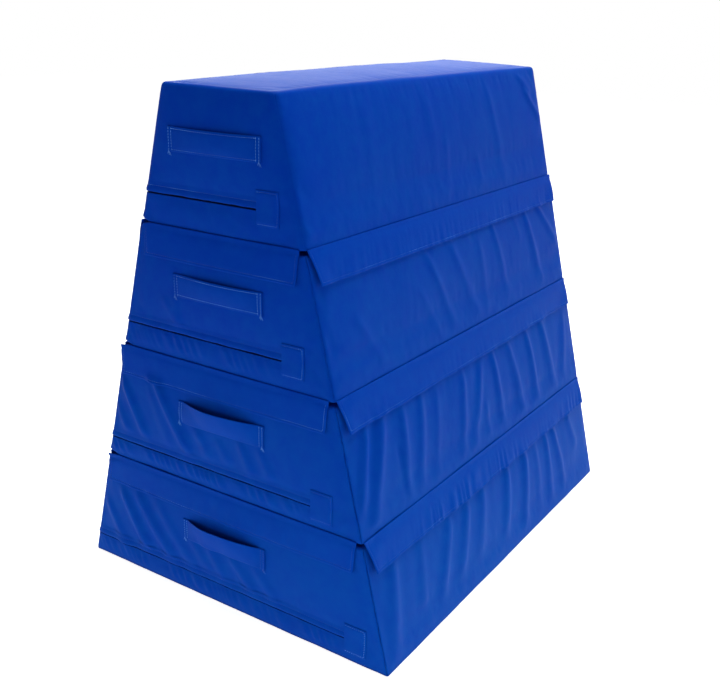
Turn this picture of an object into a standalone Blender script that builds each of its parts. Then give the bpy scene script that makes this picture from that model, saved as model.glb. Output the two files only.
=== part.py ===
"""Trapezoid gymnastics mat: foam blocks in zipped vinyl covers that stack into a tapering vaulting block.

Blender 4.5, metres, +Z up. The origin is the middle of the footprint on the floor. X runs across the width,
which tapers, and Y along the length, which doesn't. The front is the -Y end, where each zip has its garage,
and the left side is -X. Each block above the base carries four flaps along its foot. They hang over the block
below and grip it with hook and loop tape. Each block has a carrying strap at both ends.
"""

import math

import bmesh
import bpy
from mathutils import Matrix, Vector

# Overall sizes
LENGTH = 1.2192
FOOT_WIDTH = 0.9144
CREST_WIDTH = 0.3048
SECTION_HEIGHT = 0.3048
SECTIONS = ("base", "lower", "upper", "top")

# Gaps: between stacked covers, between sewn pieces and the skin, and between neighbours in one plane
STACK_GAP = 0.0004
SEWN_GAP = 0.0005
EDGE_GAP = 0.0004

# Cover: a wall that stands for coated fabric with its seam allowances, rounded corners and edges
COVER_WALL = 0.002
CORNER_RADIUS = 0.014
CREST_EDGE_RADIUS = 0.012
FOOT_EDGE_RADIUS = 0.009
GROUND_EDGE_RADIUS = 0.004
LARGEST_EDGE_SHARE = 0.9

# Stuffed form: the faces swell above the zip tape and are drawn in along the crest between the corners
FACE_SWELL = 0.006
CREST_DRAW_IN = 0.003
DRAW_IN_STARTS = 0.6
TOP_CROWN = 0.008

# Zip: its height above each block's foot, and where it ends before the back corner
ZIP_RISES = (0.060, 0.054, 0.066, 0.073)
ZIP_BACK_MARGIN = 0.060

# Zip tape behind the cover's wall, and the closed coil that stands on it in the slit
TAPE_WIDTH = 0.026
TAPE_THICKNESS = 0.0008
TAPE_BEHIND_WALL = 0.0006
COIL_WIDTH = 0.006
COIL_HEIGHT = 0.0017
COIL_CREST_SHARE = 0.7
TAPE_DEPTH = COVER_WALL + TAPE_BEHIND_WALL

# Foam core, behind the zip tape
FOAM_BEHIND_TAPE = 0.0008
FOAM_DEPTH = TAPE_DEPTH + TAPE_THICKNESS + FOAM_BEHIND_TAPE

# Zip slider, a saddle over the coil
SLIDER_LENGTH = 0.013
SLIDER_CLEARANCE = 0.0004
SLIDER_FLANGE = 0.0015
SLIDER_ROOF = 0.0019
SLIDER_WIDTH = COIL_WIDTH + 2 * (SLIDER_CLEARANCE + SLIDER_FLANGE)
SLIDER_UNDERSIDE = COIL_HEIGHT - TAPE_DEPTH + SLIDER_CLEARANCE
SLIDER_TOP = SLIDER_UNDERSIDE + SLIDER_ROOF

# Slit in the cover, which the slider runs in
SLIT_CLEARANCE = 0.0011
ZIP_SLIT = SLIDER_WIDTH + 2 * SLIT_CLEARANCE

# Tongue of the slider with a post, and the pull on the post
POST_RADIUS = 0.0010
POST_REACH = 0.003
TONGUE_WIDTH = 0.005
TONGUE_THICKNESS = 0.0007
PULL_LENGTH = 0.025
PULL_WIDTH = 0.0064
PULL_CLEARANCE = 0.0003
PULL_THICKNESS = SLIDER_ROOF - TONGUE_THICKNESS - PULL_CLEARANCE
PULL_HOLE_RADIUS = POST_RADIUS + 0.0005
PULL_EYE_WALL = 0.0006
POST_OFFSET = SLIDER_LENGTH / 2 + POST_REACH
ROUND_STEPS = 8

# Hem that hangs over the zip from the panel above it and clears the slider
HEM_ABOVE_ZIP = 0.021
HEM_BELOW_ZIP = 0.005
HEM_OVER_SLIDER = 0.0008
HEM_THICKNESS = 0.0012
HEM_BEND_SHARE = 0.6
HEM_LIFT = SLIDER_TOP + HEM_OVER_SLIDER

# Zip garage: a patch sewn on three sides and open towards the zip
GARAGE_WIDTH = 0.057
GARAGE_HEIGHT = 0.074
GARAGE_INSETS = (0.043, 0.063, 0.060, 0.045)
GARAGE_SEWN_MARGIN = 0.010
GARAGE_THICKNESS = 0.0012
SLIDER_PARK = 0.012

# Carrying straps: height of the centre line above the foot, and how far the middle stands off the skin
STRAP_LENGTH = 0.250
STRAP_WIDTH = 0.052
STRAP_THICKNESS = 0.0025
STRAP_SEWN_END = 0.015
STRAP_RISES = (0.179, 0.181, 0.178, 0.190)
STRAP_BOWS = (0.0155, 0.0145, 0.010, 0.010)
STRAP_LOWER_EDGE_SHARE = 0.75
STRAP_STEPS = 10

# Loop tape on the block below, under the flap and clear of the rounded crest
LOOP_BELOW_ROUND = 0.004
LOOP_THICKNESS = 0.0012
LOOP_END_MARGIN = 0.012
LOOP_FOOT_MARGIN = 0.009
LOOP_DROP = CREST_EDGE_RADIUS + LOOP_BELOW_ROUND

# Flaps: a rolled seam that is the hinge line, and a leaf of vinyl backed with hook tape
FLAP_DROP = 0.073
FLAP_OVER_LOOP = 0.0008
FLAP_LEAF_THICKNESS = 0.0024
FLAP_ROLL_RADIUS = 0.0035
FLAP_ROLL_OUT = 0.0012
FLAP_ROLL_TURN = math.radians(225)
FLAP_ROLL_STEPS = 5
FLAP_MIDDLE_SHARE = 0.6
END_FLAP_INSETS = (0.015, 0.019)
SIDE_FLAP_INSETS = (0.008, 0.020)
FLAP_STEPS = 6
FLAP_LIFT = SEWN_GAP + LOOP_THICKNESS + FLAP_OVER_LOOP

# Taper of the stack: the half width lost for each metre of height
TAPER = (FOOT_WIDTH - CREST_WIDTH) / 2 / (SECTION_HEIGHT * len(SECTIONS))
LEAN = math.atan(TAPER)

# Faces by name, as turns about +Z from the front
FACES = {"front": 0.0, "right": math.pi / 2, "back": math.pi, "left": -math.pi / 2}

# Where the grid of a rounded corner or edge is cut, as shares of its radius in from the outside
CORNER_CUTS = (2 - math.sqrt(2), 1.0)
ROUND_CUTS = (1 - math.sqrt(0.5), 1.0)
CHAMFER_CUTS = (1.0,)

# Grid lines that carry the swell: how many across each face, and their heights as shares of its own height
COVER_FACE_CUTS = 3
COVER_RISE_CUTS = (0.0, 0.28, 0.56, 0.80)
FOAM_FACE_CUTS = 1
FOAM_RISE_CUTS = (0.0, 0.50)

# How many stretches the zip's pieces have along the front and along the left side
ZIP_FRONT_STEPS = 6
ZIP_SIDE_STEPS = 7

# Points closer than this are one
SAME_PLACE = 1e-7

# Colour, roughness and metallic value of each finish
FINISHES = {
    "cover_vinyl": ((0.003, 0.045, 0.370), 0.42, 0.0),
    "flap_vinyl": ((0.003, 0.040, 0.400), 0.40, 0.0),
    "strap_vinyl": ((0.003, 0.045, 0.370), 0.42, 0.0),
    "trim_vinyl": ((0.003, 0.042, 0.350), 0.45, 0.0),
    "loop_tape": ((0.004, 0.025, 0.200), 0.95, 0.0),
    "zip_tape": ((0.002, 0.010, 0.060), 0.90, 0.0),
    "zip_metal": ((0.550, 0.550, 0.560), 0.35, 1.0),
    "foam": ((0.750, 0.720, 0.600), 0.95, 0.0),
}


def clamp(value, low, high):
    """The value, kept between two limits."""
    return max(low, min(high, value))


def along(turn):
    """Unit vector along a face, to the right for someone who looks at it."""
    return Vector((math.cos(turn), math.sin(turn)))


def outward(turn):
    """Unit vector straight out of a face, level."""
    return Vector((math.sin(turn), -math.cos(turn)))


class Section:
    """One block of the stack: its place, its taper and the skin that the trim is sewn to.

    Points are in the section's own axes, with z up from its foot.
    """

    def __init__(self, order):
        self.name = SECTIONS[order]
        self.is_base = order == 0
        self.is_top = order == len(SECTIONS) - 1
        self.floor = order * SECTION_HEIGHT
        self.height = SECTION_HEIGHT - STACK_GAP
        self.foot_half = FOOT_WIDTH / 2 - TAPER * self.floor
        self.half_length = LENGTH / 2
        self.zip_rise = ZIP_RISES[order]
        self.garage_inset = GARAGE_INSETS[order]
        self.strap_rise = STRAP_RISES[order]
        self.strap_bow = STRAP_BOWS[order]
        self.foot_radius = GROUND_EDGE_RADIUS if self.is_base else FOOT_EDGE_RADIUS
        self.swell_foot = self.zip_rise + TAPE_WIDTH / 2
        self.swell_height = self.height - self.swell_foot

    def half_width(self, up):
        """Half the width at a height above the foot."""
        return self.foot_half - TAPER * up

    def half_depth(self, turn, up):
        """Distance from the middle to a face at a height."""
        return self.half_length if abs(outward(turn).y) > 0.5 else self.half_width(up)

    def swell(self, ratio, up):
        """How far the skin stands off the flat face, at a share of the half face from its middle."""
        share = clamp((up - self.swell_foot) / self.swell_height, 0.0, 1.0)
        drawn = clamp((share - DRAW_IN_STARTS) / (1 - DRAW_IN_STARTS), 0.0, 1.0)
        return (1 - min(1.0, ratio * ratio)) * (
            FACE_SWELL * math.sin(math.pi * share) - CREST_DRAW_IN * drawn * drawn
        )

    def skin(self, x, y, up, out=0.0):
        """The point `out` off the skin where the rectangle at this height has (x, y) on its outline."""
        half = Vector((self.half_width(up), self.half_length))
        core = Vector(
            (
                clamp(x, CORNER_RADIUS - half.x, half.x - CORNER_RADIUS),
                clamp(y, CORNER_RADIUS - half.y, half.y - CORNER_RADIUS),
            )
        )
        normal = (Vector((x, y)) - core).normalized()
        swell = abs(normal.x) * self.swell(y / half.y, up) + abs(normal.y) * self.swell(x / half.x, up)
        lean = LEAN * abs(normal.x)
        plan = core + normal * (CORNER_RADIUS + swell + out * math.cos(lean))
        return Vector((plan.x, plan.y, up + out * math.sin(lean)))

    def on_face(self, turn, across, up, out=0.0):
        """The point `out` off the skin of a face, at a distance across from its middle line."""
        plan = outward(turn) * self.half_depth(turn, up) + along(turn) * across
        return self.skin(plan.x, plan.y, up, out)

    def round_zip(self, x, y, up, out):
        """A point beside the zip line, which is given by its outline point at the zip's own height.

        The line keeps its x near the garage and leans with the cover's corner at the left.
        """
        run = self.half_width(self.zip_rise) - CORNER_RADIUS
        lean_in = self.half_width(self.zip_rise) - self.half_width(up)
        return self.skin(x + lean_in * clamp(-x / run, 0.0, 1.0), y, up, out)

    @property
    def garage_left(self):
        """Where the garage's open side stands on the front face."""
        return self.half_width(self.zip_rise) - self.garage_inset - GARAGE_WIDTH

    @property
    def slider_x(self):
        """Where the slider is parked, under the garage."""
        return self.garage_left + SLIDER_PARK

    @property
    def slit_end(self):
        """Right end of the slit in the cover, past the slider's tongue."""
        return self.slider_x + POST_OFFSET + TONGUE_WIDTH


def material(finish):
    """The Principled material of a finish, made once."""
    found = bpy.data.materials.get(finish)
    if found:
        return found
    colour, roughness, metallic = FINISHES[finish]
    made = bpy.data.materials.new(finish)
    made.use_nodes = True
    shader = made.node_tree.nodes["Principled BSDF"]
    shader.inputs["Base Color"].default_value = (*colour, 1.0)
    shader.inputs["Roughness"].default_value = roughness
    shader.inputs["Metallic"].default_value = metallic
    made.diffuse_color = (*colour, 1.0)
    return made


def new_object(name, data, parent, collection, location=(0.0, 0.0, 0.0), turn=0.0):
    """An object placed in its section's axes and turned about +Z."""
    obj = bpy.data.objects.new(name, data)
    collection.objects.link(obj)
    obj.parent = parent
    obj.location = location
    obj.rotation_euler = (0.0, 0.0, turn)
    return obj


def mesh_object(name, bm, finish, parent, collection, location=(0.0, 0.0, 0.0), turn=0.0):
    """An object from a bmesh in section axes, with the mesh moved so that the origin is at its place."""
    place = Matrix.Translation(Vector(location)) @ Matrix.Rotation(turn, 4, "Z")
    bm.transform(place.inverted())
    bmesh.ops.recalc_face_normals(bm, faces=bm.faces)
    if bm.calc_volume(signed=True) < 0:
        bmesh.ops.reverse_faces(bm, faces=bm.faces)
    mesh = bpy.data.meshes.new(name)
    bm.to_mesh(mesh)
    bm.free()
    mesh.shade_smooth()
    mesh.set_sharp_from_angle(angle=math.radians(40))
    obj = new_object(name, mesh, parent, collection, location, turn)
    if finish:
        mesh.materials.append(material(finish))
    return obj


def lofted(stations, profile, place):
    """A closed bmesh swept through stations: place(station, point) puts each point of a closed profile."""
    bm = bmesh.new()
    runs, rounds = len(stations) - 1, len(profile)
    bmesh.ops.create_grid(bm, x_segments=runs, y_segments=rounds, size=1.0)
    for vert in bm.verts:
        station = round((vert.co.x + 1) / 2 * runs)
        point = round((vert.co.y + 1) / 2 * rounds) % rounds
        vert.co = place(stations[station], profile[point])
    bmesh.ops.remove_doubles(bm, verts=bm.verts, dist=SAME_PLACE)
    bmesh.ops.holes_fill(bm, edges=bm.edges, sides=0)
    return bm


def spread(first, last, steps):
    """Evenly spaced values from first to last."""
    return [first + (last - first) * step / steps for step in range(steps + 1)]


def stretched(value, box_half, half, radius):
    """A place on the box's side moved to the tapered side: margins keep their width, the rest scales."""
    core = box_half - radius
    if abs(value) > core:
        return math.copysign(half - (box_half - abs(value)), value)
    return value * (half - radius) / core


def edge_inset(distance, radius):
    """How far a rounded edge has drawn in at a distance from the end of its side."""
    if distance >= radius:
        return 0.0
    return radius - math.sqrt(max(0.0, radius * radius - (radius - distance) ** 2))


def block_form(section, depth, face_cuts, rise_cuts, edge_cuts):
    """The stuffed form, `depth` inside the skin: a box cut into a grid, rounded, tapered and swelled."""
    radius = CORNER_RADIUS - depth
    low, high = depth, section.height - depth
    largest = CORNER_RADIUS * LARGEST_EDGE_SHARE
    foot = max(0.0, min(section.foot_radius, largest) - depth)
    crest = min(CREST_EDGE_RADIUS, largest) - depth
    half_x, half_y = section.foot_half - depth, section.half_length - depth
    bm = bmesh.new()
    bmesh.ops.create_cube(bm, size=1.0)
    for vert in bm.verts:
        vert.co = (vert.co.x * 2 * half_x, vert.co.y * 2 * half_y, low + (vert.co.z + 0.5) * (high - low))
    heights = [section.swell_foot + section.swell_height * cut for cut in rise_cuts]
    heights += [high - crest * cut for cut in edge_cuts]
    heights += [low + foot * cut for cut in edge_cuts if foot]
    grid = {
        (1, 0, 0): side_cuts(half_x, radius, face_cuts),
        (0, 1, 0): side_cuts(half_y, radius, face_cuts),
        (0, 0, 1): heights,
    }
    for axis, places in grid.items():
        for place in places:
            geometry = bm.verts[:] + bm.edges[:] + bm.faces[:]
            middle = Vector(axis) * place
            bmesh.ops.bisect_plane(bm, geom=geometry, plane_co=middle, plane_no=axis, dist=SAME_PLACE)
    for vert in bm.verts:
        inset = max(edge_inset(vert.co.z - low, foot), edge_inset(high - vert.co.z, crest))
        crown = TOP_CROWN if section.is_top and high - vert.co.z < SAME_PLACE * 10 else 0.0
        vert.co = formed(section, vert.co, depth, inset, crown)
    split_inward(bm)
    return bm


def split_inward(bm):
    """Splits each quad along the diagonal that lies further in, so that no facet stands out of the skin."""
    bm.normal_update()
    for face in list(bm.faces):
        first, second, third, fourth = face.verts
        rise = face.normal.dot(first.co + third.co - second.co - fourth.co)
        ends = (second, fourth) if rise > 0 else (first, third)
        bmesh.utils.face_split(face, *ends)


def side_cuts(half, radius, face_cuts):
    """Grid lines across a side: those of its rounded corners, and evenly spaced ones between them."""
    inner = [half - radius * cut for cut in CORNER_CUTS]
    return inner + [-value for value in inner] + spread(radius - half, half - radius, face_cuts + 1)[1:-1]


def formed(section, point, depth, inset, crown):
    """Where a point of the plain box goes on the block's form."""
    radius = CORNER_RADIUS - depth
    half = Vector((section.half_width(point.z) - depth, section.half_length - depth))
    x = stretched(point.x, section.foot_half - depth, half.x, radius)
    core = Vector(
        (clamp(x, radius - half.x, half.x - radius), clamp(point.y, radius - half.y, half.y - radius))
    )
    offset = Vector((x, point.y)) - core
    reach = max(abs(offset.x), abs(offset.y))
    normal = offset.normalized()
    swell = abs(normal.x) * section.swell(point.y / half.y, point.z)
    swell += abs(normal.y) * section.swell(x / half.x, point.z)
    plan = core + normal * (reach * (radius - inset + swell) / radius)
    rise = crown * (1 - (plan.x / half.x) ** 2) * (1 - (plan.y / half.y) ** 2)
    return Vector((plan.x, plan.y, point.z + rise))


def box(name, low, high, parent, collection):
    """A hidden box between two corners, for a Boolean."""
    bm = bmesh.new()
    bmesh.ops.create_cube(bm, size=1.0)
    low, high = Vector(low), Vector(high)
    for vert in bm.verts:
        vert.co = (low + high) / 2 + Vector(a * b for a, b in zip(vert.co, high - low))
    return hidden(mesh_object(name, bm, None, parent, collection))


def hidden(obj):
    """Marks a helper so that it is no part of the object."""
    obj.hide_render = True
    obj.display_type = "WIRE"
    return obj


def add_boolean(obj, other, operation):
    """Cuts or joins another mesh with an exact Boolean."""
    boolean = obj.modifiers.new(other.name, "BOOLEAN")
    boolean.operation = operation
    boolean.object = other


def make_cover(section, parent, parts, cutters):
    """The cover: the stuffed form less its hollow, with the zip's slit round the front left corner."""
    bm = block_form(section, 0.0, COVER_FACE_CUTS, COVER_RISE_CUTS, ROUND_CUTS)
    cover = mesh_object(f"{section.name}_cover", bm, "cover_vinyl", parent, parts)
    bm = block_form(section, COVER_WALL, COVER_FACE_CUTS, COVER_RISE_CUTS, CHAMFER_CUTS)
    hollow = hidden(mesh_object(f"{section.name}_hollow", bm, None, parent, cutters))
    slit = make_zip_slit(section, parent, cutters)
    for cutter in (hollow, slit):
        add_boolean(cover, cutter, "DIFFERENCE")


def make_foam_core(section, parent, parts):
    """The foam block that fills the cover."""
    bm = block_form(section, FOAM_DEPTH, FOAM_FACE_CUTS, FOAM_RISE_CUTS, CHAMFER_CUTS)
    mesh_object(f"{section.name}_foam_core", bm, "foam", parent, parts)


def zip_line(section, start, back):
    """Outline points at the zip's height: along the front from `start`, round the left corner, to `back`."""
    half_x, half_y = section.half_width(section.zip_rise), section.half_length
    margins = [radius_share * CORNER_RADIUS for radius_share in (1.0, CORNER_CUTS[0])]
    front = [(x, -half_y) for x in spread(start, margins[0] - half_x, ZIP_FRONT_STEPS)]
    corner = [(margins[1] - half_x, -half_y), (-half_x, -half_y), (-half_x, margins[1] - half_y)]
    left = [(-half_x, y) for y in spread(margins[0] - half_y, back, ZIP_SIDE_STEPS)]
    return front + corner + left


def zip_band(section, start, back_margin, profile):
    """A bmesh swept along the zip line; the profile's points are heights from the zip and distances out."""

    def place(station, point):
        return section.round_zip(*station, section.zip_rise + point[0], point[1])

    return lofted(zip_line(section, start, section.half_length - back_margin), profile, place)


def make_zip_slit(section, parent, cutters):
    """The cutter of the slit: a band along the zip line that passes through the wall."""
    half, inner, outer = ZIP_SLIT / 2, -FOAM_DEPTH, CORNER_RADIUS
    profile = [(-half, inner), (half, inner), (half, outer), (-half, outer)]
    bm = zip_band(section, section.slit_end, ZIP_BACK_MARGIN, profile)
    return hidden(mesh_object(f"{section.name}_zip_slit", bm, None, parent, cutters))


def make_zip_chain(section, parent, parts):
    """Tape behind the slit and the closed coil that stands in it, as one strip."""
    tape, coil = TAPE_WIDTH / 2, COIL_WIDTH / 2
    face, crest = -TAPE_DEPTH, COIL_HEIGHT - TAPE_DEPTH
    profile = [
        (-tape, face - TAPE_THICKNESS),
        (tape, face - TAPE_THICKNESS),
        (tape, face),
        (coil, face),
        (coil * COIL_CREST_SHARE, crest),
        (-coil * COIL_CREST_SHARE, crest),
        (-coil, face),
        (-tape, face),
    ]
    bm = zip_band(section, section.slit_end - EDGE_GAP, ZIP_BACK_MARGIN + EDGE_GAP, profile)
    mesh_object(f"{section.name}_zip_chain", bm, "zip_tape", parent, parts)


def make_zip_hem(section, parent, parts):
    """The stitched lip of the upper panel, which hangs over the zip and clears the slider."""
    bend = HEM_ABOVE_ZIP * HEM_BEND_SHARE
    profile = [
        (HEM_ABOVE_ZIP, SEWN_GAP),
        (HEM_ABOVE_ZIP, SEWN_GAP + HEM_THICKNESS),
        (bend, HEM_LIFT + HEM_THICKNESS),
        (-HEM_BELOW_ZIP, HEM_LIFT + HEM_THICKNESS),
        (-HEM_BELOW_ZIP, HEM_LIFT),
        (bend, HEM_LIFT),
    ]
    bm = zip_band(section, section.garage_left - EDGE_GAP, ZIP_BACK_MARGIN / 2, profile)
    mesh_object(f"{section.name}_zip_hem", bm, "trim_vinyl", parent, parts)


def make_zip_garage(section, parent, parts):
    """The patch over the parked slider: raised in the middle, sewn down above, below and at the right."""
    rise = GARAGE_HEIGHT / 2
    crown = rise - GARAGE_SEWN_MARGIN
    lift = HEM_LIFT - SEWN_GAP
    inner, outer = SEWN_GAP, SEWN_GAP + GARAGE_THICKNESS
    profile = [(-rise, inner, 0.0), (-crown, inner, lift), (crown, inner, lift), (rise, inner, 0.0)]
    profile += [(rise, outer, 0.0), (crown, outer, lift), (-crown, outer, lift), (-rise, outer, 0.0)]
    stations = [
        (section.garage_left, 1.0),
        (section.garage_left + GARAGE_WIDTH / 2, 1.0),
        (section.garage_left + GARAGE_WIDTH - GARAGE_SEWN_MARGIN, 1.0),
        (section.garage_left + GARAGE_WIDTH, 0.0),
    ]

    def place(station, point):
        across, raised = station
        up, out, lifted = point
        return section.on_face(FACES["front"], across, section.zip_rise + up, out + lifted * raised)

    bm = lofted(stations, profile, place)
    mesh_object(f"{section.name}_zip_garage", bm, "trim_vinyl", parent, parts)


def make_zip_slider(section, parent, parts, cutters):
    """The slider: a saddle over the coil with a tongue and a post for its pull."""
    half, wide = SLIDER_LENGTH / 2, SLIDER_WIDTH / 2
    heel = SLIDER_CLEARANCE - TAPE_DEPTH
    inside = wide - SLIDER_FLANGE
    chamfer = SLIDER_FLANGE / 2
    profile = [
        (-wide, heel),
        (-wide, SLIDER_TOP - chamfer),
        (chamfer - wide, SLIDER_TOP),
        (wide - chamfer, SLIDER_TOP),
        (wide, SLIDER_TOP - chamfer),
        (wide, heel),
        (inside, heel),
        (inside, SLIDER_UNDERSIDE),
        (-inside, SLIDER_UNDERSIDE),
        (-inside, heel),
    ]
    centre = Vector((section.slider_x, -section.half_length, section.zip_rise))

    def place(station, point):
        return centre + Vector((station, -point[1], point[0]))

    bm = lofted([-half, half], profile, place)
    slider = mesh_object(f"{section.name}_zip_slider", bm, "zip_metal", parent, parts, centre)
    reach = POST_OFFSET + TONGUE_WIDTH / 2
    low = Vector((half - SLIDER_FLANGE, -SLIDER_UNDERSIDE - TONGUE_THICKNESS, -TONGUE_WIDTH / 2))
    high = Vector((reach, -SLIDER_UNDERSIDE, TONGUE_WIDTH / 2))
    tongue = box(f"{section.name}_slider_tongue", centre + low, centre + high, parent, cutters)
    bm = bmesh.new()
    stand = Matrix.Translation(centre + Vector((POST_OFFSET, -SLIDER_UNDERSIDE - SLIDER_ROOF / 2, 0.0)))
    bmesh.ops.create_cone(
        bm,
        cap_ends=True,
        segments=ROUND_STEPS,
        radius1=POST_RADIUS,
        radius2=POST_RADIUS,
        depth=SLIDER_ROOF,
        matrix=stand @ Matrix.Rotation(math.pi / 2, 4, "X"),
    )
    post = hidden(mesh_object(f"{section.name}_slider_post", bm, None, parent, cutters))
    add_boolean(slider, tongue, "UNION")
    add_boolean(slider, post, "UNION")


def arc(centre, radius, first, last, steps):
    """Points round part of a circle."""
    return [
        (centre[0] + radius * math.cos(angle), centre[1] + radius * math.sin(angle))
        for angle in spread(first, last, steps)
    ]


def make_zip_pull(section, parent, parts):
    """The slider's pull: a flat plate with round ends and a hole round the post."""
    wide = PULL_WIDTH / 2
    near = POST_OFFSET - PULL_HOLE_RADIUS - PULL_EYE_WALL + wide
    far = SLIDER_LENGTH / 2 + PULL_LENGTH - wide
    quarter = math.pi / 2
    outline = arc((near, 0.0), wide, quarter, 3 * quarter, ROUND_STEPS)
    outline += arc((far, 0.0), wide, -quarter, quarter, ROUND_STEPS)
    hole = arc((POST_OFFSET, 0.0), PULL_HOLE_RADIUS, 0.0, 2 * math.pi, ROUND_STEPS)[:-1]
    curve = bpy.data.curves.new(f"{section.name}_zip_pull", "CURVE")
    curve.dimensions = "2D"
    curve.fill_mode = "BOTH"
    curve.extrude = PULL_THICKNESS / 2
    for points in (outline, hole):
        spline = curve.splines.new("POLY")
        spline.points.add(len(points) - 1)
        for point, (x, y) in zip(spline.points, points):
            point.co = (x, y, 0.0, 1.0)
        spline.use_cyclic_u = True
    curve.materials.append(material("zip_metal"))
    stand_off = SLIDER_TOP - PULL_THICKNESS / 2
    place = (section.slider_x, -section.half_length - stand_off, section.zip_rise)
    pull = new_object(f"{section.name}_zip_pull", curve, parent, parts, place)
    pull.rotation_euler = (math.pi / 2, 0.0, 0.0)


def make_strap(section, face, parent, parts):
    """A carrying strap: sewn down at both ends, its middle bowed off the face, the upper edge more."""
    turn = FACES[face]
    half = STRAP_LENGTH / 2
    free = half - STRAP_SEWN_END
    stations = [-half] + spread(-free, free, STRAP_STEPS) + [half]
    wide = STRAP_WIDTH / 2
    profile = [(-wide, 0.0), (wide, 0.0), (wide, STRAP_THICKNESS), (-wide, STRAP_THICKNESS)]

    def place(station, point):
        arch = 1 - min(1.0, abs(station) / free) ** 3
        tilt = STRAP_LOWER_EDGE_SHARE if point[0] < 0 else 1.0
        out = SEWN_GAP + point[1] + section.strap_bow * arch * tilt
        return section.on_face(turn, station, section.strap_rise + point[0], out)

    bm = lofted(stations, profile, place)
    mesh_object(f"{section.name}_{face}_handle", bm, "strap_vinyl", parent, parts)


def flap_ends(section, turn):
    """How far the flap reaches each way from the face's middle: at the hinge line, and at the free edge."""
    if abs(outward(turn).y) > 0.5:
        return [section.foot_half - inset for inset in END_FLAP_INSETS]
    return [section.half_length - inset for inset in SIDE_FLAP_INSETS]


def make_flap(section, below, face, parent, parts):
    """A flap: a rolled seam along the foot of its block and a leaf that hangs over the block below."""
    turn = FACES[face]
    top_reach, edge_reach = flap_ends(section, turn)
    hinge = outward(turn) * (section.half_depth(turn, 0.0) + FLAP_ROLL_OUT)
    drops = (LOOP_DROP, FLAP_DROP * FLAP_MIDDLE_SHARE, FLAP_DROP)
    profile = [("leaf", drop, FLAP_LIFT + FLAP_LEAF_THICKNESS) for drop in reversed(drops)]
    profile += [("roll", angle, FLAP_ROLL_RADIUS) for angle in spread(0.0, FLAP_ROLL_TURN, FLAP_ROLL_STEPS)]
    profile += [("leaf", drop, FLAP_LIFT) for drop in drops]

    def place(station, point):
        stretch, way, out = point
        if stretch == "roll":
            plan = hinge + outward(turn) * out * math.cos(way) + along(turn) * top_reach * station
            return Vector((plan.x, plan.y, out * math.sin(way)))
        reach = top_reach + (edge_reach - top_reach) * way / FLAP_DROP
        spot = below.on_face(turn, reach * station, SECTION_HEIGHT - way, out)
        return spot - Vector((0.0, 0.0, SECTION_HEIGHT))

    bm = lofted(spread(-1.0, 1.0, FLAP_STEPS), profile, place)
    name = f"{section.name}_{face}_flap"
    mesh_object(name, bm, "flap_vinyl", parent, parts, (hinge.x, hinge.y, 0.0), turn)


def make_loop_strip(section, above, face, parent, parts):
    """The loop tape near the crest of a block, which the flap of the block above grips."""
    turn = FACES[face]
    reach = min(flap_ends(above, turn)) - LOOP_END_MARGIN
    high = SECTION_HEIGHT - LOOP_DROP
    rises = spread(SECTION_HEIGHT - FLAP_DROP + LOOP_FOOT_MARGIN, high, 2)
    profile = [(up, SEWN_GAP) for up in rises]
    profile += [(up, SEWN_GAP + LOOP_THICKNESS) for up in reversed(rises)]

    def place(station, point):
        return section.on_face(turn, station, *point)

    bm = lofted(spread(-reach, reach, FLAP_STEPS), profile, place)
    mesh_object(f"{section.name}_{face}_loop_strip", bm, "loop_tape", parent, parts)


def clear_scene():
    """Removes the objects that the scene starts with."""
    for obj in list(bpy.data.objects):
        bpy.data.objects.remove(obj, do_unlink=True)


def new_collection(name):
    """A collection linked to the scene."""
    collection = bpy.data.collections.new(name)
    bpy.context.scene.collection.children.link(collection)
    return collection


def main():
    """Builds the stack, block by block from the floor."""
    clear_scene()
    parts = new_collection("trapezoid_gymnastics_mat")
    cutters = new_collection("cutters")
    sections = [Section(order) for order in range(len(SECTIONS))]
    for order, section in enumerate(sections):
        empty = new_object(f"{section.name}_section", None, None, parts, (0.0, 0.0, section.floor))
        make_cover(section, empty, parts, cutters)
        make_foam_core(section, empty, parts)
        make_zip_chain(section, empty, parts)
        make_zip_hem(section, empty, parts)
        make_zip_garage(section, empty, parts)
        make_zip_slider(section, empty, parts, cutters)
        make_zip_pull(section, empty, parts)
        for face in ("front", "back"):
            make_strap(section, face, empty, parts)
        for face in FACES:
            if not section.is_base:
                make_flap(section, sections[order - 1], face, empty, parts)
            if not section.is_top:
                make_loop_strip(section, sections[order + 1], face, empty, parts)


main()
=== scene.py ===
"""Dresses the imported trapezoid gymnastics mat: four foam blocks in zipped vinyl covers, stacked on each other.

Metres, +Z up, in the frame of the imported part. The front is the -Y end, where each zip has its garage, and the
left side is -X. Every piece is built in place, so its object sits at the origin.
"""

import logging
import math
from dataclasses import dataclass, field
from enum import Enum
from typing import Callable, Sequence

import bmesh
import bpy
import numpy as np
from bmesh.types import BMesh, BMVert
from bpy.types import ID, Material, Mesh, NodeSocket, NodeTree, Object, World
from mathutils import Matrix, Vector, noise
from mathutils.bvhtree import BVHTree


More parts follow.
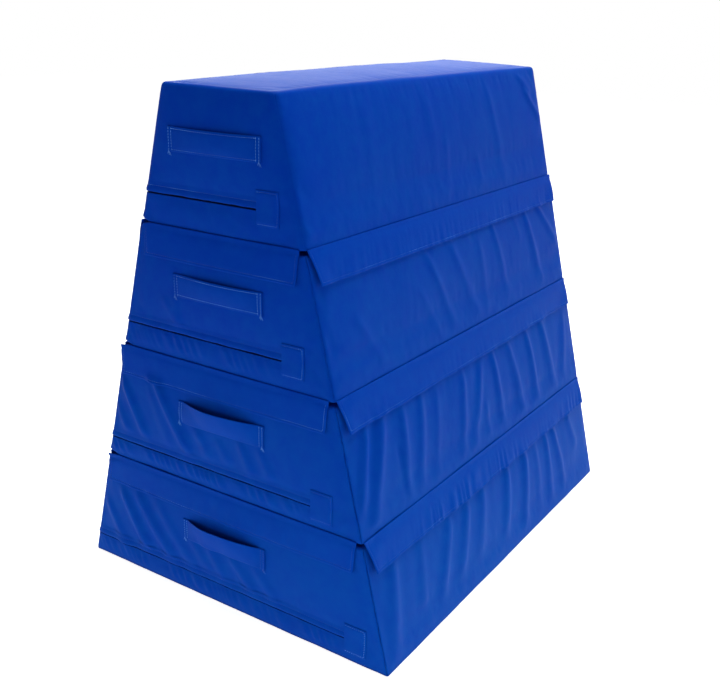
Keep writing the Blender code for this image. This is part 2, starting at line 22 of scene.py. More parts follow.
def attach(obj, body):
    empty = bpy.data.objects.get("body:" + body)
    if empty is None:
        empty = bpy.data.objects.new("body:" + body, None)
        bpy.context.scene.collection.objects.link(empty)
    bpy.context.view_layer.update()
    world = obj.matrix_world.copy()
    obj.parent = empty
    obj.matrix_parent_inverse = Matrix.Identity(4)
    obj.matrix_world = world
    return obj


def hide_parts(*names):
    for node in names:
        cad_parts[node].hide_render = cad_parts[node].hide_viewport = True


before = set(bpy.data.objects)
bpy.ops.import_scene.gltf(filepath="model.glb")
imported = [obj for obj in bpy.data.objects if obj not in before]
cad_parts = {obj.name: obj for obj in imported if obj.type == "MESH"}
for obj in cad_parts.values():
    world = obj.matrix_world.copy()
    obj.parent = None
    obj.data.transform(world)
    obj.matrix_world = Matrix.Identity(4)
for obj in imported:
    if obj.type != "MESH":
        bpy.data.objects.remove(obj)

LOG = logging.getLogger("trapezoid_mat")
MM = 0.001
SAME_PLACE = 1e-7

Pair = tuple[float, float]
Triple = tuple[float, float, float]
Colour = Triple

# The stack, as the part's source has it
LENGTH = 1.2192
FOOT_WIDTH = 0.9144
CREST_WIDTH = 0.3048
SECTION_HEIGHT = 0.3048
STACK_GAP = 0.0004
FOOT_EDGE_RADIUS = 0.0035
GROUND_EDGE_RADIUS = 0.004
FACE_SWELL = 0.006
CREST_DRAW_IN = 0.003
DRAW_IN_STARTS = 0.6
TOP_CROWN = 0.008
TOP_BACK_LEFT_RISE = 0.0068
TOP_FRONT_RIGHT_DIP = 0.0028
FLAP_DROP = 0.073
END_FLAP_SHORT = (0.015, 0.019)
SIDE_FLAP_SHORT = (0.008, 0.020)
SLIDER_HALF = 0.0065
SLIDER_ROOM = 0.003
SLIT_PAST_SLIDER = 0.005
TAPER = (FOOT_WIDTH - CREST_WIDTH) / 2 / (4 * SECTION_HEIGHT)
LEAN = math.atan(TAPER)


class Face(Enum):
    """A face of a block, as its turn about +Z from the front."""

    FRONT = 0.0
    RIGHT = math.pi / 2
    BACK = math.pi
    LEFT = -math.pi / 2

    @property
    def along(self) -> Vector:
        """Unit vector along the face, to the right for someone who looks at it."""
        return Vector((math.cos(self.value), math.sin(self.value)))

    @property
    def outward(self) -> Vector:
        """Unit vector straight out of the face, in plan."""
        return Vector((math.sin(self.value), -math.cos(self.value)))

    @property
    def out_way(self) -> Vector:
        """Unit vector straight out of the face, level."""
        return Vector((*self.outward, 0.0))

    @property
    def is_end(self) -> bool:
        """Whether the face is one of the two ends."""
        return self in (Face.FRONT, Face.BACK)

    @property
    def key(self) -> str:
        """The face's name in the CAD nodes."""
        return self.name.lower()


@dataclass(frozen=True)
class Fold:
    """A soft ridge in a cover's face, in millimetres: its two ends, how high it stands and its half width."""

    top_across: float
    top_up: float
    low_across: float
    low_up: float
    height: float
    width: float

    def mirrored(self, slide: float) -> "Fold":
        """The fold on the opposite face, mirrored and slid along it by a number of millimetres."""
        top_across, low_across = slide - self.top_across, slide - self.low_across
        return Fold(top_across, self.top_up, low_across, self.low_up, self.height, self.width)


# The folds that the blocks show on the front and the right, as the numbers of a Fold
FRONT_FOLDS: dict[str, tuple[tuple[float, ...], ...]] = {
    "base": (
        (-395, 170, -330, 40, 1.9, 13), (-335, 214, -252, 69, 3.0, 14), (-285, 222, -166, 69, 2.8, 16),
        (-215, 219, -100, 69, 1.6, 16), (-100, 149, -40, 69, 1.2, 14), (-50, 159, 0, 69, 1.4, 14),
        (20, 149, 90, 69, 1.8, 15), (90, 149, 150, 69, 1.2, 14),
    ),
    "lower": (
        (-205, 244, -100, 74, 3.2, 13), (-310, 215, -240, 79, 2.8, 11), (-345, 160, -300, 79, 1.6, 10),
        (-220, 214, -160, 74, 1.2, 14), (-110, 190, -60, 120, 1.0, 14), (-70, 144, -40, 79, 1.5, 13),
        (-10, 134, 20, 84, 1.0, 12), (55, 149, 85, 74, 1.8, 13), (110, 144, 140, 79, 1.2, 12),
    ),
    "upper": ((-160, 139, -120, 79, 1.2, 12), (-130, 149, -115, 79, 0.8, 11)),
    "top": (),
}
RIGHT_FOLDS: dict[str, tuple[tuple[float, ...], ...]] = {
    "base": (
        (-520, 229, -565, 29, 3.2, 20), (-405, 229, -430, 69, 1.6, 16), (-270, 219, -350, 49, 2.8, 18),
        (-180, 224, -250, 59, 3.0, 18), (-95, 229, -150, 59, 2.6, 20), (50, 229, 0, 49, 3.0, 18),
        (160, 229, 120, 29, 3.4, 18), (230, 219, 230, 39, 1.4, 15), (305, 229, 305, 39, 2.6, 15),
        (360, 229, 400, 39, 2.8, 16), (470, 229, 510, 119, 1.8, 16),
    ),
    "lower": (
        (-530, 224, -592, 60, 3.0, 12), (-500, 230, -575, 10, -1.2, 13), (-465, 224, -560, 8, 3.6, 18),
        (-425, 150, -415, 20, -1.1, 9), (-385, 224, -410, 24, 2.6, 15), (-300, 224, -350, 24, 2.2, 16),
        (-230, 214, -275, 14, 1.0, 14), (-100, 219, -140, 24, 2.2, 15), (0, 224, -85, 14, 2.4, 16),
        (0, 114, 5, 24, 1.2, 12), (65, 224, 90, 24, 2.4, 14), (160, 224, 215, 14, 2.6, 17),
        (280, 224, 310, 24, 2.8, 15), (380, 234, 430, 24, 2.8, 18), (550, 214, 500, 34, 1.4, 16),
    ),
    "upper": (
        (-180, 234, -75, 20, 1.8, 13), (-65, 239, 50, 20, 1.6, 16), (90, 209, 105, 20, 1.0, 14),
        (175, 234, 235, 20, 1.6, 14), (385, 229, 450, 20, 2.4, 15), (310, 229, 340, 160, 0.8, 12),
        (-220, 140, -150, 20, 1.0, 13), (-485, 140, -405, 20, 1.4, 13), (470, 239, 585, 110, 2.4, 12),
        (530, 119, 600, 99, 1.0, 9),
    ),
    "top": (
        (270, 265, 310, 15, 1.3, 16), (170, 105, 175, 15, 0.9, 14), (-60, 265, -40, 20, 0.7, 20),
        (10, 165, -5, 15, 0.8, 14), (-320, 255, -330, 25, 0.5, 20), (-140, 265, -140, 25, 0.5, 22),
        (500, 245, 590, 155, 2.4, 11), (470, 295, 540, 235, 1.6, 12), (-610, 55, -575, 15, 1.2, 10),
        (440, 60, 460, 10, 0.7, 14),
    ),
}


def clamp(value: float, low: float, high: float) -> float:
    """The value, kept between two limits."""
    return max(low, min(high, value))


def smooth(value: float | np.ndarray) -> float | np.ndarray:
    """A smooth step from 0 to 1 as the value goes from 0 to 1."""
    held = np.clip(value, 0.0, 1.0)
    return held * held * (3 - 2 * held)


def spread(first: float, last: float, steps: int) -> list[float]:
    """Evenly spaced values from first to last."""
    return [first + (last - first) * step / steps for step in range(steps + 1)]


def filled(lines: Sequence[float], pitch: float) -> list[float]:
    """Grid lines with evenly spaced ones added wherever two stand further apart than the pitch.

    Args:
        lines: Grid lines that have to be there.
        pitch: The widest space between two lines.

    Returns:
        All lines, in rising order.
    """
    kept = sorted(lines)
    made = [kept[0]]
    for low, high in zip(kept, kept[1:]):
        steps = max(1, math.ceil((high - low) / pitch))
        made += spread(low, high, steps)[1:]
    return made


def corner_core(x: float, y: float, half: Vector, radius: float) -> Vector:
    """The centre that the outline of a rounded rectangle turns about at a place, or runs along."""
    return Vector((clamp(x, radius - half.x, half.x - radius), clamp(y, radius - half.y, half.y - radius)))


@dataclass
class Section:
    """One block of the stack: its place, its taper and the skin that the trim is sewn to.

    Attributes:
        order: 0 for the base, rising.
        zip_rise, strap_rise: Heights of the zip line and of the straps' middle above the foot.
        garage_inset: Distance from the zip's garage to the sloping edge.
        strap_bow, strap_arch: How far the straps bow off the face, and the share of it that is also a rise.
        gathers: Height of the puckers below the zip, in millimetres.
        streaks: Height of the faint bands between the folds.
        crest_sink, foot_lift, left_foot_lift: How far the crest's corners sink and the foot's corners rise.
        end_folds, side_folds: Factors on the height of the folds.
        end_ripple, side_ripple: Height of the puckers of the flaps, in millimetres.
        flap_overreach: How far the front flap reaches past its place at the left.
        tree: The dressed cover, which the trim is laid on.
        skin_dent: How far the trim follows a hollow in the cover.
    """

    order: int
    name: str
    zip_rise: float
    garage_inset: float
    strap_rise: float
    strap_bow: float
    strap_arch: float
    seam_depth: float
    gathers: float
    streaks: float
    corner_radius: float
    crest_radius: float
    crest_sink: float
    foot_lift: float
    end_folds: float
    side_folds: float
    end_ripple: float
    side_ripple: float
    flap_overreach: float = 0.0
    left_foot_lift: float = 0.0100
    tree: BVHTree | None = None

    tape_half: float = 0.013
    skin_dent: float = 0.0035
    floor: float = field(init=False)
    height: float = field(init=False, default=SECTION_HEIGHT - STACK_GAP)
    foot_half: float = field(init=False)
    half_length: float = field(init=False, default=LENGTH / 2)
    foot_radius: float = field(init=False)

    def __post_init__(self) -> None:
        """Works out the block's own floor, width and edge."""
        self.floor = self.order * SECTION_HEIGHT
        self.foot_half = FOOT_WIDTH / 2 - TAPER * self.floor
        self.foot_radius = FOOT_EDGE_RADIUS if self.order else GROUND_EDGE_RADIUS

    @property
    def body(self) -> str:
        """The CAD body that the block's pieces ride on."""
        return f"{self.name}_block"

    @property
    def is_top(self) -> bool:
        """Whether the block is the highest one."""
        return self.name == "top"

    @property
    def has_sewn_straps(self) -> bool:
        """Whether the straps are stitched along their edges; the heavier straps below are folded only."""
        return self.order > 1

    @property
    def garage_left(self) -> float:
        """Where the garage's open side stands on the front face."""
        return self.half_width(self.zip_rise) - self.garage_inset - Garage.width

    @property
    def zip_right(self) -> float:
        """Where the zip's slit ends on the front face, under the garage and past the parked slider."""
        return self.garage_left + Garage.park + SLIDER_HALF + SLIDER_ROOM + SLIT_PAST_SLIDER

    def half_width(self, up: float) -> float:
        """Half the width at a height above the foot."""
        return self.foot_half - TAPER * up

    def half_depth(self, face: Face, up: float) -> float:
        """Distance from the middle to a face at a height."""
        return self.half_length if face.is_end else self.half_width(up)

    def swell(self, ratio: float, up: float) -> float:
        """How far the plain skin stands off the flat face.

        Args:
            ratio: Distance from the face's middle line, as a share of the half face.
            up: Height above the foot.

        Returns:
            The distance, positive outwards.
        """
        swell_foot = self.zip_rise + self.tape_half
        share = clamp((up - swell_foot) / (self.height - swell_foot), 0.0, 1.0)
        drawn = clamp((share - DRAW_IN_STARTS) / (1 - DRAW_IN_STARTS), 0.0, 1.0)
        bulge = FACE_SWELL * math.sin(math.pi * share) - CREST_DRAW_IN * drawn * drawn
        return (1 - min(1.0, ratio * ratio)) * bulge

    def core_and_normal(self, x: float, y: float, up: float) -> tuple[Vector, Vector]:
        """The centre of the corner's rounding, and the way out, for a point of the outline rectangle.

        Args:
            x: Across the width.
            y: Along the length.
            up: Height above the foot.

        Returns:
            The point that the skin is self.corner_radius from, and the unit normal in plan.
        """
        half = Vector((self.half_width(up), self.half_length))
        core = corner_core(x, y, half, self.corner_radius)
        return core, (Vector((x, y)) - core).normalized()

    def skin(self, x: float, y: float, up: float, out: float = 0.0, reach: float = 0.0) -> Vector:
        """The point `out` off the dressed cover where the outline rectangle at this height has (x, y).

        Args:
            x: Across the width.
            y: Along the length.
            up: Height above the block's foot.
            out: Distance off the cover.
            reach: A stiff piece lies on the ridges within this distance on both sides.

        Returns:
            The point, in the frame of the part.
        """
        core, normal = self.core_and_normal(x, y, up)
        side = Vector((-normal.y, normal.x))
        offsets = (0.0,) if reach == 0.0 else (-reach, -reach / 2, 0.0, reach / 2, reach)
        stands = max(self.stand_off(core + side * offset, normal, up) for offset in offsets)
        lean = LEAN * abs(normal.x)
        plan = core + normal * (stands + out * math.cos(lean))
        return Vector((plan.x, plan.y, self.floor + up + out * math.sin(lean)))

    def plain_skin(self, x: float, y: float, up: float, out: float) -> Vector:
        """The point `out` off the cover as it is without folds, for a point of the outline or of the skin.

        Args:
            x: Across the width.
            y: Along the length.
            up: Height above the block's foot.
            out: Distance off the plain cover, level.

        Returns:
            The point, in the frame of the part.
        """
        core, normal = self.core_and_normal(x, y, up)
        plan = core + normal * (self.corner_radius + out)
        return Vector((plan.x, plan.y, self.floor + up))

    def stand_off(self, core: Vector, normal: Vector, up: float) -> float:
        """How far the dressed cover is from a point inside it.

        Args:
            core: The point, in plan.
            normal: The way out, in plan.
            up: Height above the foot.

        Returns:
            The distance along the way out.
        """
        probe = 0.08
        start = core + normal * probe
        hit = self.tree.ray_cast(
            Vector((start.x, start.y, self.floor + up)), Vector((-normal.x, -normal.y, 0.0)), 2 * probe
        )
        least = self.corner_radius - self.skin_dent
        return max(least, probe - hit[3]) if hit[0] else self.corner_radius

    def on_face(self, face: Face, across: float, up: float, out: float = 0.0, reach: float = 0.0) -> Vector:
        """The point `out` off the dressed cover of a face, at a distance across from its middle line."""
        plan = face.outward * self.half_depth(face, up) + face.along * across
        return self.skin(plan.x, plan.y, up, out, reach)

    def zip_outline(self, x: float, up: float) -> float:
        """Where a point of the zip line is across the width, at another height.

        Args:
            x: Where it is at the zip's height.
            up: The other height above the foot.

        Returns:
            Its place across the width, moved in with the left side's slope.
        """
        run = self.half_width(self.zip_rise) - self.corner_radius
        lean_in = self.half_width(self.zip_rise) - self.half_width(up)
        return x + lean_in * clamp(-x / run, 0.0, 1.0)

    def zip_line(self, start: float, back: float, pitch: float) -> list[Pair]:
        """Outline points at the zip's height: along the front from `start`, round the left corner, to `back`.

        Args:
            start: Where the line starts on the front, across the width.
            back: Where it ends on the left side, along the length.
            pitch: The widest space between two points on the straight parts.

        Returns:
            The points in plan.
        """
        half_x, half_y = self.half_width(self.zip_rise), self.half_length
        radius = self.corner_radius
        turn = []
        for angle in reversed(spread(math.pi, 1.5 * math.pi, 6)[1:-1]):
            cosine, sine = math.cos(angle), math.sin(angle)
            square = max(abs(cosine), abs(sine))
            turn.append((radius - half_x + radius * cosine / square, radius - half_y + radius * sine / square))
        front = [(x, -half_y) for x in reversed(filled([radius - half_x, start], pitch))]
        left = [(-half_x, y) for y in filled([radius - half_y, back], pitch)]
        return front + turn + left


SECTIONS = [
    Section(
        order=0, name="base", zip_rise=0.060, garage_inset=0.043, strap_rise=0.179, strap_bow=0.0240,
        strap_arch=0.17, seam_depth=0.0032, gathers=3.2, streaks=0.0011, corner_radius=0.007, crest_radius=0.006,
        crest_sink=0.0105, foot_lift=0.0, end_folds=2.9, side_folds=2.1, end_ripple=0.0, side_ripple=0.0,
    ),
    Section(
        order=1, name="lower", zip_rise=0.054, garage_inset=0.063, strap_rise=0.181, strap_bow=0.0220,
        strap_arch=0.08, seam_depth=0.0030, gathers=5.2, streaks=0.0010, corner_radius=0.008, crest_radius=0.006,
        crest_sink=0.0105, foot_lift=-0.0018, end_folds=2.7, side_folds=2.2, end_ripple=1.6, side_ripple=3.4,
        flap_overreach=0.015,
    ),
    Section(
        order=2, name="upper", zip_rise=0.066, garage_inset=0.060, strap_rise=0.178, strap_bow=0.0060,
        strap_arch=-0.15, seam_depth=0.0022, gathers=3.2, streaks=0.0006, corner_radius=0.011, crest_radius=0.006,
        crest_sink=0.0095, foot_lift=-0.0018, end_folds=2.3, side_folds=1.8, end_ripple=0.7, side_ripple=0.7,
        flap_overreach=0.021,
    ),
    Section(
        order=3, name="top", zip_rise=0.073, garage_inset=0.045, strap_rise=0.190, strap_bow=0.0050,
        strap_arch=-0.15, seam_depth=0.0006, gathers=0.3, streaks=0.0004, corner_radius=0.017, crest_radius=0.007,
        crest_sink=0.0, foot_lift=-0.0012, end_folds=1.5, side_folds=1.7, end_ripple=0.6, side_ripple=1.3,
    ),
]


# Shader graphs


Inputs = dict[str | int, object]


class Value:
    """A shader socket that carries a number, and Math nodes as Python arithmetic."""

    def __init__(self, graph: "Graph", socket: NodeSocket | None) -> None:
        """Wraps a socket of a graph."""
        self.graph = graph
        self.socket = socket

    def math(self, operation: str, *others: "Value | float", first: "Value | float | None" = None) -> "Value":
        """A Math node on this value.

        Args:
            operation: The node's operation.
            others: What follows this value on the node's inputs.
            first: What goes before it, for the reflected operators.

        Returns:
            The result.
        """
        inputs = [self, *others] if first is None else [first, self]
        return self.graph.add("ShaderNodeMath", {"operation": operation}, dict(enumerate(inputs)))

    def __add__(self, other: "Value | float") -> "Value":
        """The sum."""
        return self.math("ADD", other)

    def __sub__(self, other: "Value | float") -> "Value":
        """The difference."""
        return self.math("SUBTRACT", other)

    def __rsub__(self, other: float) -> "Value":
        """The difference, from a number."""
        return self.math("SUBTRACT", first=other)

    def __mul__(self, other: "Value | float") -> "Value":
        """The product."""
        return self.math("MULTIPLY", other)

    __radd__ = __add__
    __rmul__ = __mul__

    def between(self, low: float, high: float) -> "Value":
        """0 below `low` and 1 above `high`, smoothly."""
        settings = {"interpolation_type": "SMOOTHSTEP"}
        return self.graph.add("ShaderNodeMapRange", settings, {"Value": self, "From Min": low, "From Max": high})


class Graph:
    """The node tree of a material or of the world."""

    def __init__(self, tree: NodeTree) -> None:
        """Starts from an empty tree."""
        self.tree = tree
        tree.nodes.clear()

    def add(
        self,
        kind: str,
        settings: dict[str, object] | None = None,
        inputs: Inputs | None = None,
        output: str | int = 0,
    ) -> Value:
        """Adds a node.

        Args:
            kind: The node's type.
            settings: Its settings, set first.
            inputs: Values or links, by socket name or number.
            output: The output that is handed back.

        Returns:
            The output, wrapped; nothing is in it for a node that ends the tree.
        """
        node = self.tree.nodes.new(kind)
        for key, value in (settings or {}).items():
            setattr(node, key, value)
        for key, value in (inputs or {}).items():
            if isinstance(value, Value):
                self.tree.links.new(value.socket, node.inputs[key])
            else:
                node.inputs[key].default_value = value
        return Value(self, node.outputs[output] if node.outputs else None)

    def mix(self, factor: Value, first: object, second: object) -> Value:
        """A colour between two, by a factor."""
        settings = {"data_type": "RGBA"}
        return self.add("ShaderNodeMix", settings, {0: factor, 6: first, 7: second}, 2)

    def place(self, scale: Sequence[float] = (1.0, 1.0, 1.0)) -> Value:
        """Object coordinates.

        Args:
            scale: Factors along X, Y and Z.

        Returns:
            The coordinates, scaled.
        """
        coordinates = self.add("ShaderNodeTexCoord", output="Object")
        if tuple(scale) == (1.0, 1.0, 1.0):
            return coordinates
        return self.add("ShaderNodeVectorMath", {"operation": "MULTIPLY"}, {0: coordinates, 1: tuple(scale)})

    def axes(self) -> list[Value]:
        """X, Y and Z of the object coordinates."""
        place = self.place()
        return [self.add("ShaderNodeSeparateXYZ", None, {0: place}, axis) for axis in ("X", "Y", "Z")]

    def noise(self, scale: float, detail: float = 2.0, roughness: float = 0.5, place: Value | None = None) -> Value:
        """Noise from 0 to 1.

        Args:
            scale: Waves a metre.
            detail: How many octaves follow.
            roughness: How strong they are.
            place: Where it is read, if that isn't the object coordinates as they are.

        Returns:
            The noise.
        """
        inputs = {"Vector": place or self.place(), "Scale": scale, "Detail": detail, "Roughness": roughness}
        return self.add("ShaderNodeTexNoise", None, inputs)

    def bump(self, height: Value, distance: float, strength: float = 1.0, under: Value | None = None) -> Value:
        """A Bump node.

        Args:
            height: The height.
            distance: How far 1 of it rises.
            strength: How much of it shows.
            under: The Bump that it lies on.

        Returns:
            The normal.
        """
        inputs: Inputs = {"Height": height, "Distance": distance, "Strength": strength}
        if under:
            inputs["Normal"] = under
        return self.add("ShaderNodeBump", None, inputs)

    def surface(self, shader: Value) -> None:
        """Ends the tree with its output node, which shows the shader."""
        is_world = isinstance(self.tree.id_data, World)
        self.add(f"ShaderNodeOutput{'World' if is_world else 'Material'}", None, {"Surface": shader})


WHITE: Colour = (1.0, 1.0, 1.0)


def rgba(colour: Colour) -> tuple[float, float, float, float]:
    """The colour with full alpha."""
    return (*colour, 1.0)


def node_material(name: str) -> tuple[Material, Graph]:
    """Makes a material without nodes, and its graph.

    Args:
        name: The material's name.

    Returns:
        Both.
    """
    material = bpy.data.materials.new(name)
    material.use_nodes = True
    return material, Graph(material.node_tree)


@dataclass(frozen=True)
class Finish:
    """A finish of the object, made as a material of nodes."""

    name: str

    def build(self) -> Material:
        """Makes the material.

        Returns:
            The finished material.
        """
        material, graph = node_material(self.name)
        graph.surface(graph.add("ShaderNodeBsdfPrincipled", None, self.inputs(graph)))
        return material

    def inputs(self, graph: Graph) -> Inputs:
        """Makes what goes into the Principled shader: numbers and links, by socket name."""
        raise NotImplementedError


@dataclass(frozen=True)
class Vinyl(Finish):
    """PVC-coated fabric: an even blue with a fine grain over a faint weave, scuffed towards the floor, and painted
    paler towards the floor as painted light thrown up by the white floor.
    """

    colour: Colour
    pale: Colour
    roughness: float = 0.50
    specular: float = 0.022
    tint: Colour = (0.12, 0.85, 1.0)
    weave_pitch: float = 0.0013

    def inputs(self, graph: Graph) -> Inputs:
        """Makes the vinyl's colour with its painted floor light, scuffs, weave and grain.

        Args:
            graph: The material's graph.

        Returns:
            Numbers and links, by socket name.
        """
        axes = graph.axes()
        broad = graph.noise(3.2, 3.0, 0.55)
        cloudy = graph.noise(38.0, 4.0, 0.6)
        scuffs = graph.noise(55.0, 6.0, 0.72, graph.place((1.0, 1.0, 6.0)))
        # A ramp, 1 at the floor and 0 at 1.1 m: it paints the vinyl paler towards the floor as painted light, and
        # makes the scuffs heavier there.
        low = 1.0 - axes[2].between(0.0, 1.1)
        worn = scuffs.between(0.56, 0.80) * (0.15 + low * 0.45)
        # Random mottling, plus the ramp's share, which is painted light from the floor.
        tone_and_floor_light = (broad - 0.5) * 0.5 + (cloudy - 0.5) * 0.7 + 0.12 + low * 0.36
        colour = graph.mix(tone_and_floor_light, rgba(self.colour), rgba(self.pale))
        dust = tuple(0.8 * channel + 0.012 for channel in self.pale)
        colour = graph.mix(worn, colour, rgba(dust))
        roughness = self.roughness + (cloudy - 0.5) * 0.14 + worn * 0.22
        waves = 2 * math.pi / self.weave_pitch
        weave = ((axes[0] + axes[1]) * waves).math("SINE") * (axes[2] * waves).math("SINE")
        grain = graph.noise(620.0, 3.0, 0.6)
        normal = graph.bump(weave, 0.00004, 0.5)
        normal = graph.bump(grain, 0.00022, 0.45, normal)
        normal = graph.bump(graph.noise(85.0, 3.0, 0.5), 0.0010, 0.30, normal)
        return {
            "Base Color": colour,
            "Roughness": roughness,
            "Normal": normal,
            "Specular IOR Level": self.specular,
            "Specular Tint": rgba(self.tint),
        }


@dataclass(frozen=True)
class Fuzz(Finish):
    """Napped loop tape or woven zip tape: ribs under a soft pile that scatters light."""

    colour: Colour
    tip: Colour
    rib_pitch: float
    pile: float
    roughness: float = 0.92
    sheen: float = 0.2

    def inputs(self, graph: Graph) -> Inputs:
        """Makes the tape's ribs and pile.

        Args:
            graph: The material's graph.

        Returns:
            Numbers and links, by socket name.
        """
        fibres = graph.noise(900.0, 5.0, 0.7)
        tufts = graph.noise(260.0, 3.0, 0.6)
        axes = graph.axes()
        waves = 2 * math.pi / self.rib_pitch
        ribs = ((axes[0] + axes[1]) * waves).math("SINE") * 0.5 + 0.5
        lift = fibres * 0.6 + tufts * 0.3 + ribs * 0.25
        colour = graph.mix(lift.between(0.35, 0.85), rgba(self.colour), rgba(self.tip))
        return {
            "Base Color": colour,
            "Roughness": self.roughness,
            "Normal": graph.bump(lift, self.pile, 0.8),
            "Specular IOR Level": 0.06,
            "Sheen Weight": self.sheen,
            "Sheen Roughness": 0.5,
        }


@dataclass(frozen=True)
class CastMetal(Finish):
    """Plated die-cast zinc, lightly brushed, with duller spots."""

    colour: Colour
    roughness: float = 0.28

    def inputs(self, graph: Graph) -> Inputs:
        """Makes the plating and its dull spots.

        Args:
            graph: The material's graph.

        Returns:
            Numbers and links, by socket name.
        """
        brushed = graph.noise(1.0, 3.0, 0.6, graph.place((60.0, 1200.0, 1200.0)))
        spots = graph.noise(420.0, 4.0, 0.6).between(0.55, 0.8)
        dull = tuple(0.6 * channel for channel in self.colour)
        colour = graph.mix(spots, rgba(self.colour), rgba(dull))
        return {
            "Base Color": colour,
            "Metallic": 1.0,
            "Roughness": self.roughness + (brushed - 0.5) * 0.2 + spots * 0.2,
            "Normal": graph.bump(brushed, 0.00003, 0.4),
        }


@dataclass(frozen=True)
class OpenCellFoam(Finish):
    """Cut polyurethane foam: pale, matt, with open cells and a saw's faint lines."""

    colour: Colour
    shade: Colour
    cell: float = 0.0014

    def inputs(self, graph: Graph) -> Inputs:
        """Makes the foam's cells and saw lines.

        Args:
            graph: The material's graph.

        Returns:
            Numbers and links, by socket name.
        """
        settings = {"Vector": graph.place(), "Scale": 1.0 / self.cell}
        cells = graph.add("ShaderNodeTexVoronoi", {"feature": "F1"}, settings, "Distance")
        saw = graph.noise(1.0, 2.0, place=graph.place((4.0, 4.0, 300.0)))
        colour = graph.mix(cells.between(0.15, 0.75) * 0.8 + (saw - 0.5) * 0.3, rgba(self.colour), rgba(self.shade))
        normal = graph.bump(cells, 0.0006, 0.7)
        return {
            "Base Color": colour,
            "Roughness": 0.95,
            "Normal": graph.bump(saw, 0.0004, 0.4, normal),
            "Specular IOR Level": 0.1,
        }


@dataclass(frozen=True)
class Thread(Finish):
    """Bonded polyester sewing thread: two twisted plies with a slight gloss, with a painted highlight where it lies
    proud and painted shade, in the vinyl's blue, along sunken stretches.
    """

    colour: Colour
    pale: Colour
    sunk_shade: Colour
    shade_from: float
    ply_pitch: float = 0.0009

    def inputs(self, graph: Graph) -> Inputs:
        """Makes the thread's plies and fray, and its painted highlight and shade.

        Args:
            graph: The material's graph.

        Returns:
            Numbers and links, by socket name.
        """
        axes = graph.axes()
        plies = ((axes[0] + axes[1] + axes[2] * 1.6) * (2 * math.pi / self.ply_pitch)).math("SINE") * 0.5 + 0.5
        fray = graph.noise(240.0, 2.0)
        colour = graph.mix(plies * 0.5 + fray.between(0.4, 0.8) * 0.5, rgba(self.colour), rgba(self.pale))
        # Painted light: a slow noise picks stretches that keep the pale thread colour as a painted highlight, and
        # paints the rest the vinyl's blue as painted shade.
        proud = graph.noise(7.0, 3.0, 0.6).between(self.shade_from, self.shade_from + 0.16)
        colour = graph.mix(proud, rgba(self.sunk_shade), colour)
        return {
            "Base Color": colour,
            "Roughness": 0.45 + fray * 0.2,
            "Normal": graph.bump(plies, 0.0001, 0.6),
        }


class Finishes:
    """Every finish of the object, made once."""

    def __init__(self) -> None:
        """Builds the materials."""
        self.cover = Vinyl("cover_vinyl_blue", (0.0003, 0.031, 0.355), (0.0020, 0.068, 0.395)).build()
        self.flap = Vinyl("flap_vinyl_blue", (0.0003, 0.031, 0.360), (0.0016, 0.062, 0.415), 0.46).build()
        self.strap = Vinyl("strap_vinyl_blue", (0.0004, 0.034, 0.350), (0.0018, 0.060, 0.405), 0.46).build()
        self.trim = Vinyl("trim_vinyl_blue", (0.0003, 0.031, 0.355), (0.0020, 0.068, 0.395)).build()
        self.loop = Fuzz("loop_tape_navy", (0.002, 0.014, 0.120), (0.010, 0.050, 0.280), 0.0016, 0.0010).build()
        # The zip tape is navy, darkened almost to black: partly the tape's own colour, partly painted shade of the
        # slit under the hem.
        woven = (0.0004, 0.002, 0.016), (0.0010, 0.005, 0.034)
        self.zip_tape = Fuzz("zip_tape_navy_slit_shade", *woven, 0.0008, 0.0003, sheen=0.0).build()
        self.metal = CastMetal("zip_metal_nickel", (0.60, 0.59, 0.57)).build()
        self.foam = OpenCellFoam("foam_cream", (0.78, 0.74, 0.60), (0.52, 0.47, 0.34)).build()
        # The third colour is painted shade, near the vinyl's blue; the three thread finishes paint ever more of the
        # thread with it.
        sewn = (0.030, 0.190, 0.680), (0.130, 0.370, 0.900), (0.0008, 0.045, 0.390)
        self.thread = Thread("thread_blue", *sewn, 0.36).build()
        self.sunk_shade_thread = Thread("thread_blue_sunk_shade", *sewn, 0.49).build()
        self.buried_shade_thread = Thread("thread_blue_buried_shade", *sewn, 0.80).build()


# Mesh helpers


def mesh_of(name: str, bm: BMesh) -> Mesh:
    """Turns a bmesh into a mesh and frees it.

    Args:
        name: The mesh's name.
        bm: The bmesh.

    Returns:
        The mesh.
    """
    mesh = bpy.data.meshes.new(name)
    bm.to_mesh(mesh)
    bm.free()
    return mesh


def placed(name: str, data: ID) -> Object:
    """Puts an object in the scene.

    Args:
        name: Its name.
        data: Its mesh, light or camera.

    Returns:
        The object.
    """
    thing = bpy.data.objects.new(name, data)
    bpy.context.scene.collection.objects.link(thing)
    return thing


def new_piece(name: str, bm: BMesh, material: Material, sharp: float = 50.0) -> Object:
    """Turns a bmesh into a smooth-shaded object at the origin and frees it.

    Args:
        name: The piece's name.
        bm: Its mesh, in the frame of the part.
        material: Its finish.
        sharp: Edges that bend more than this many degrees stay sharp.

    Returns:
        The object.
    """
    if bm.calc_volume(signed=True) < 0:
        bmesh.ops.reverse_faces(bm, faces=bm.faces)
    mesh = mesh_of(name, bm)
    mesh.shade_smooth()
    mesh.set_sharp_from_angle(angle=math.radians(sharp))
    mesh.materials.append(material)
    LOG.info("%s: %d faces", name, len(mesh.polygons))
    return placed(name, mesh)


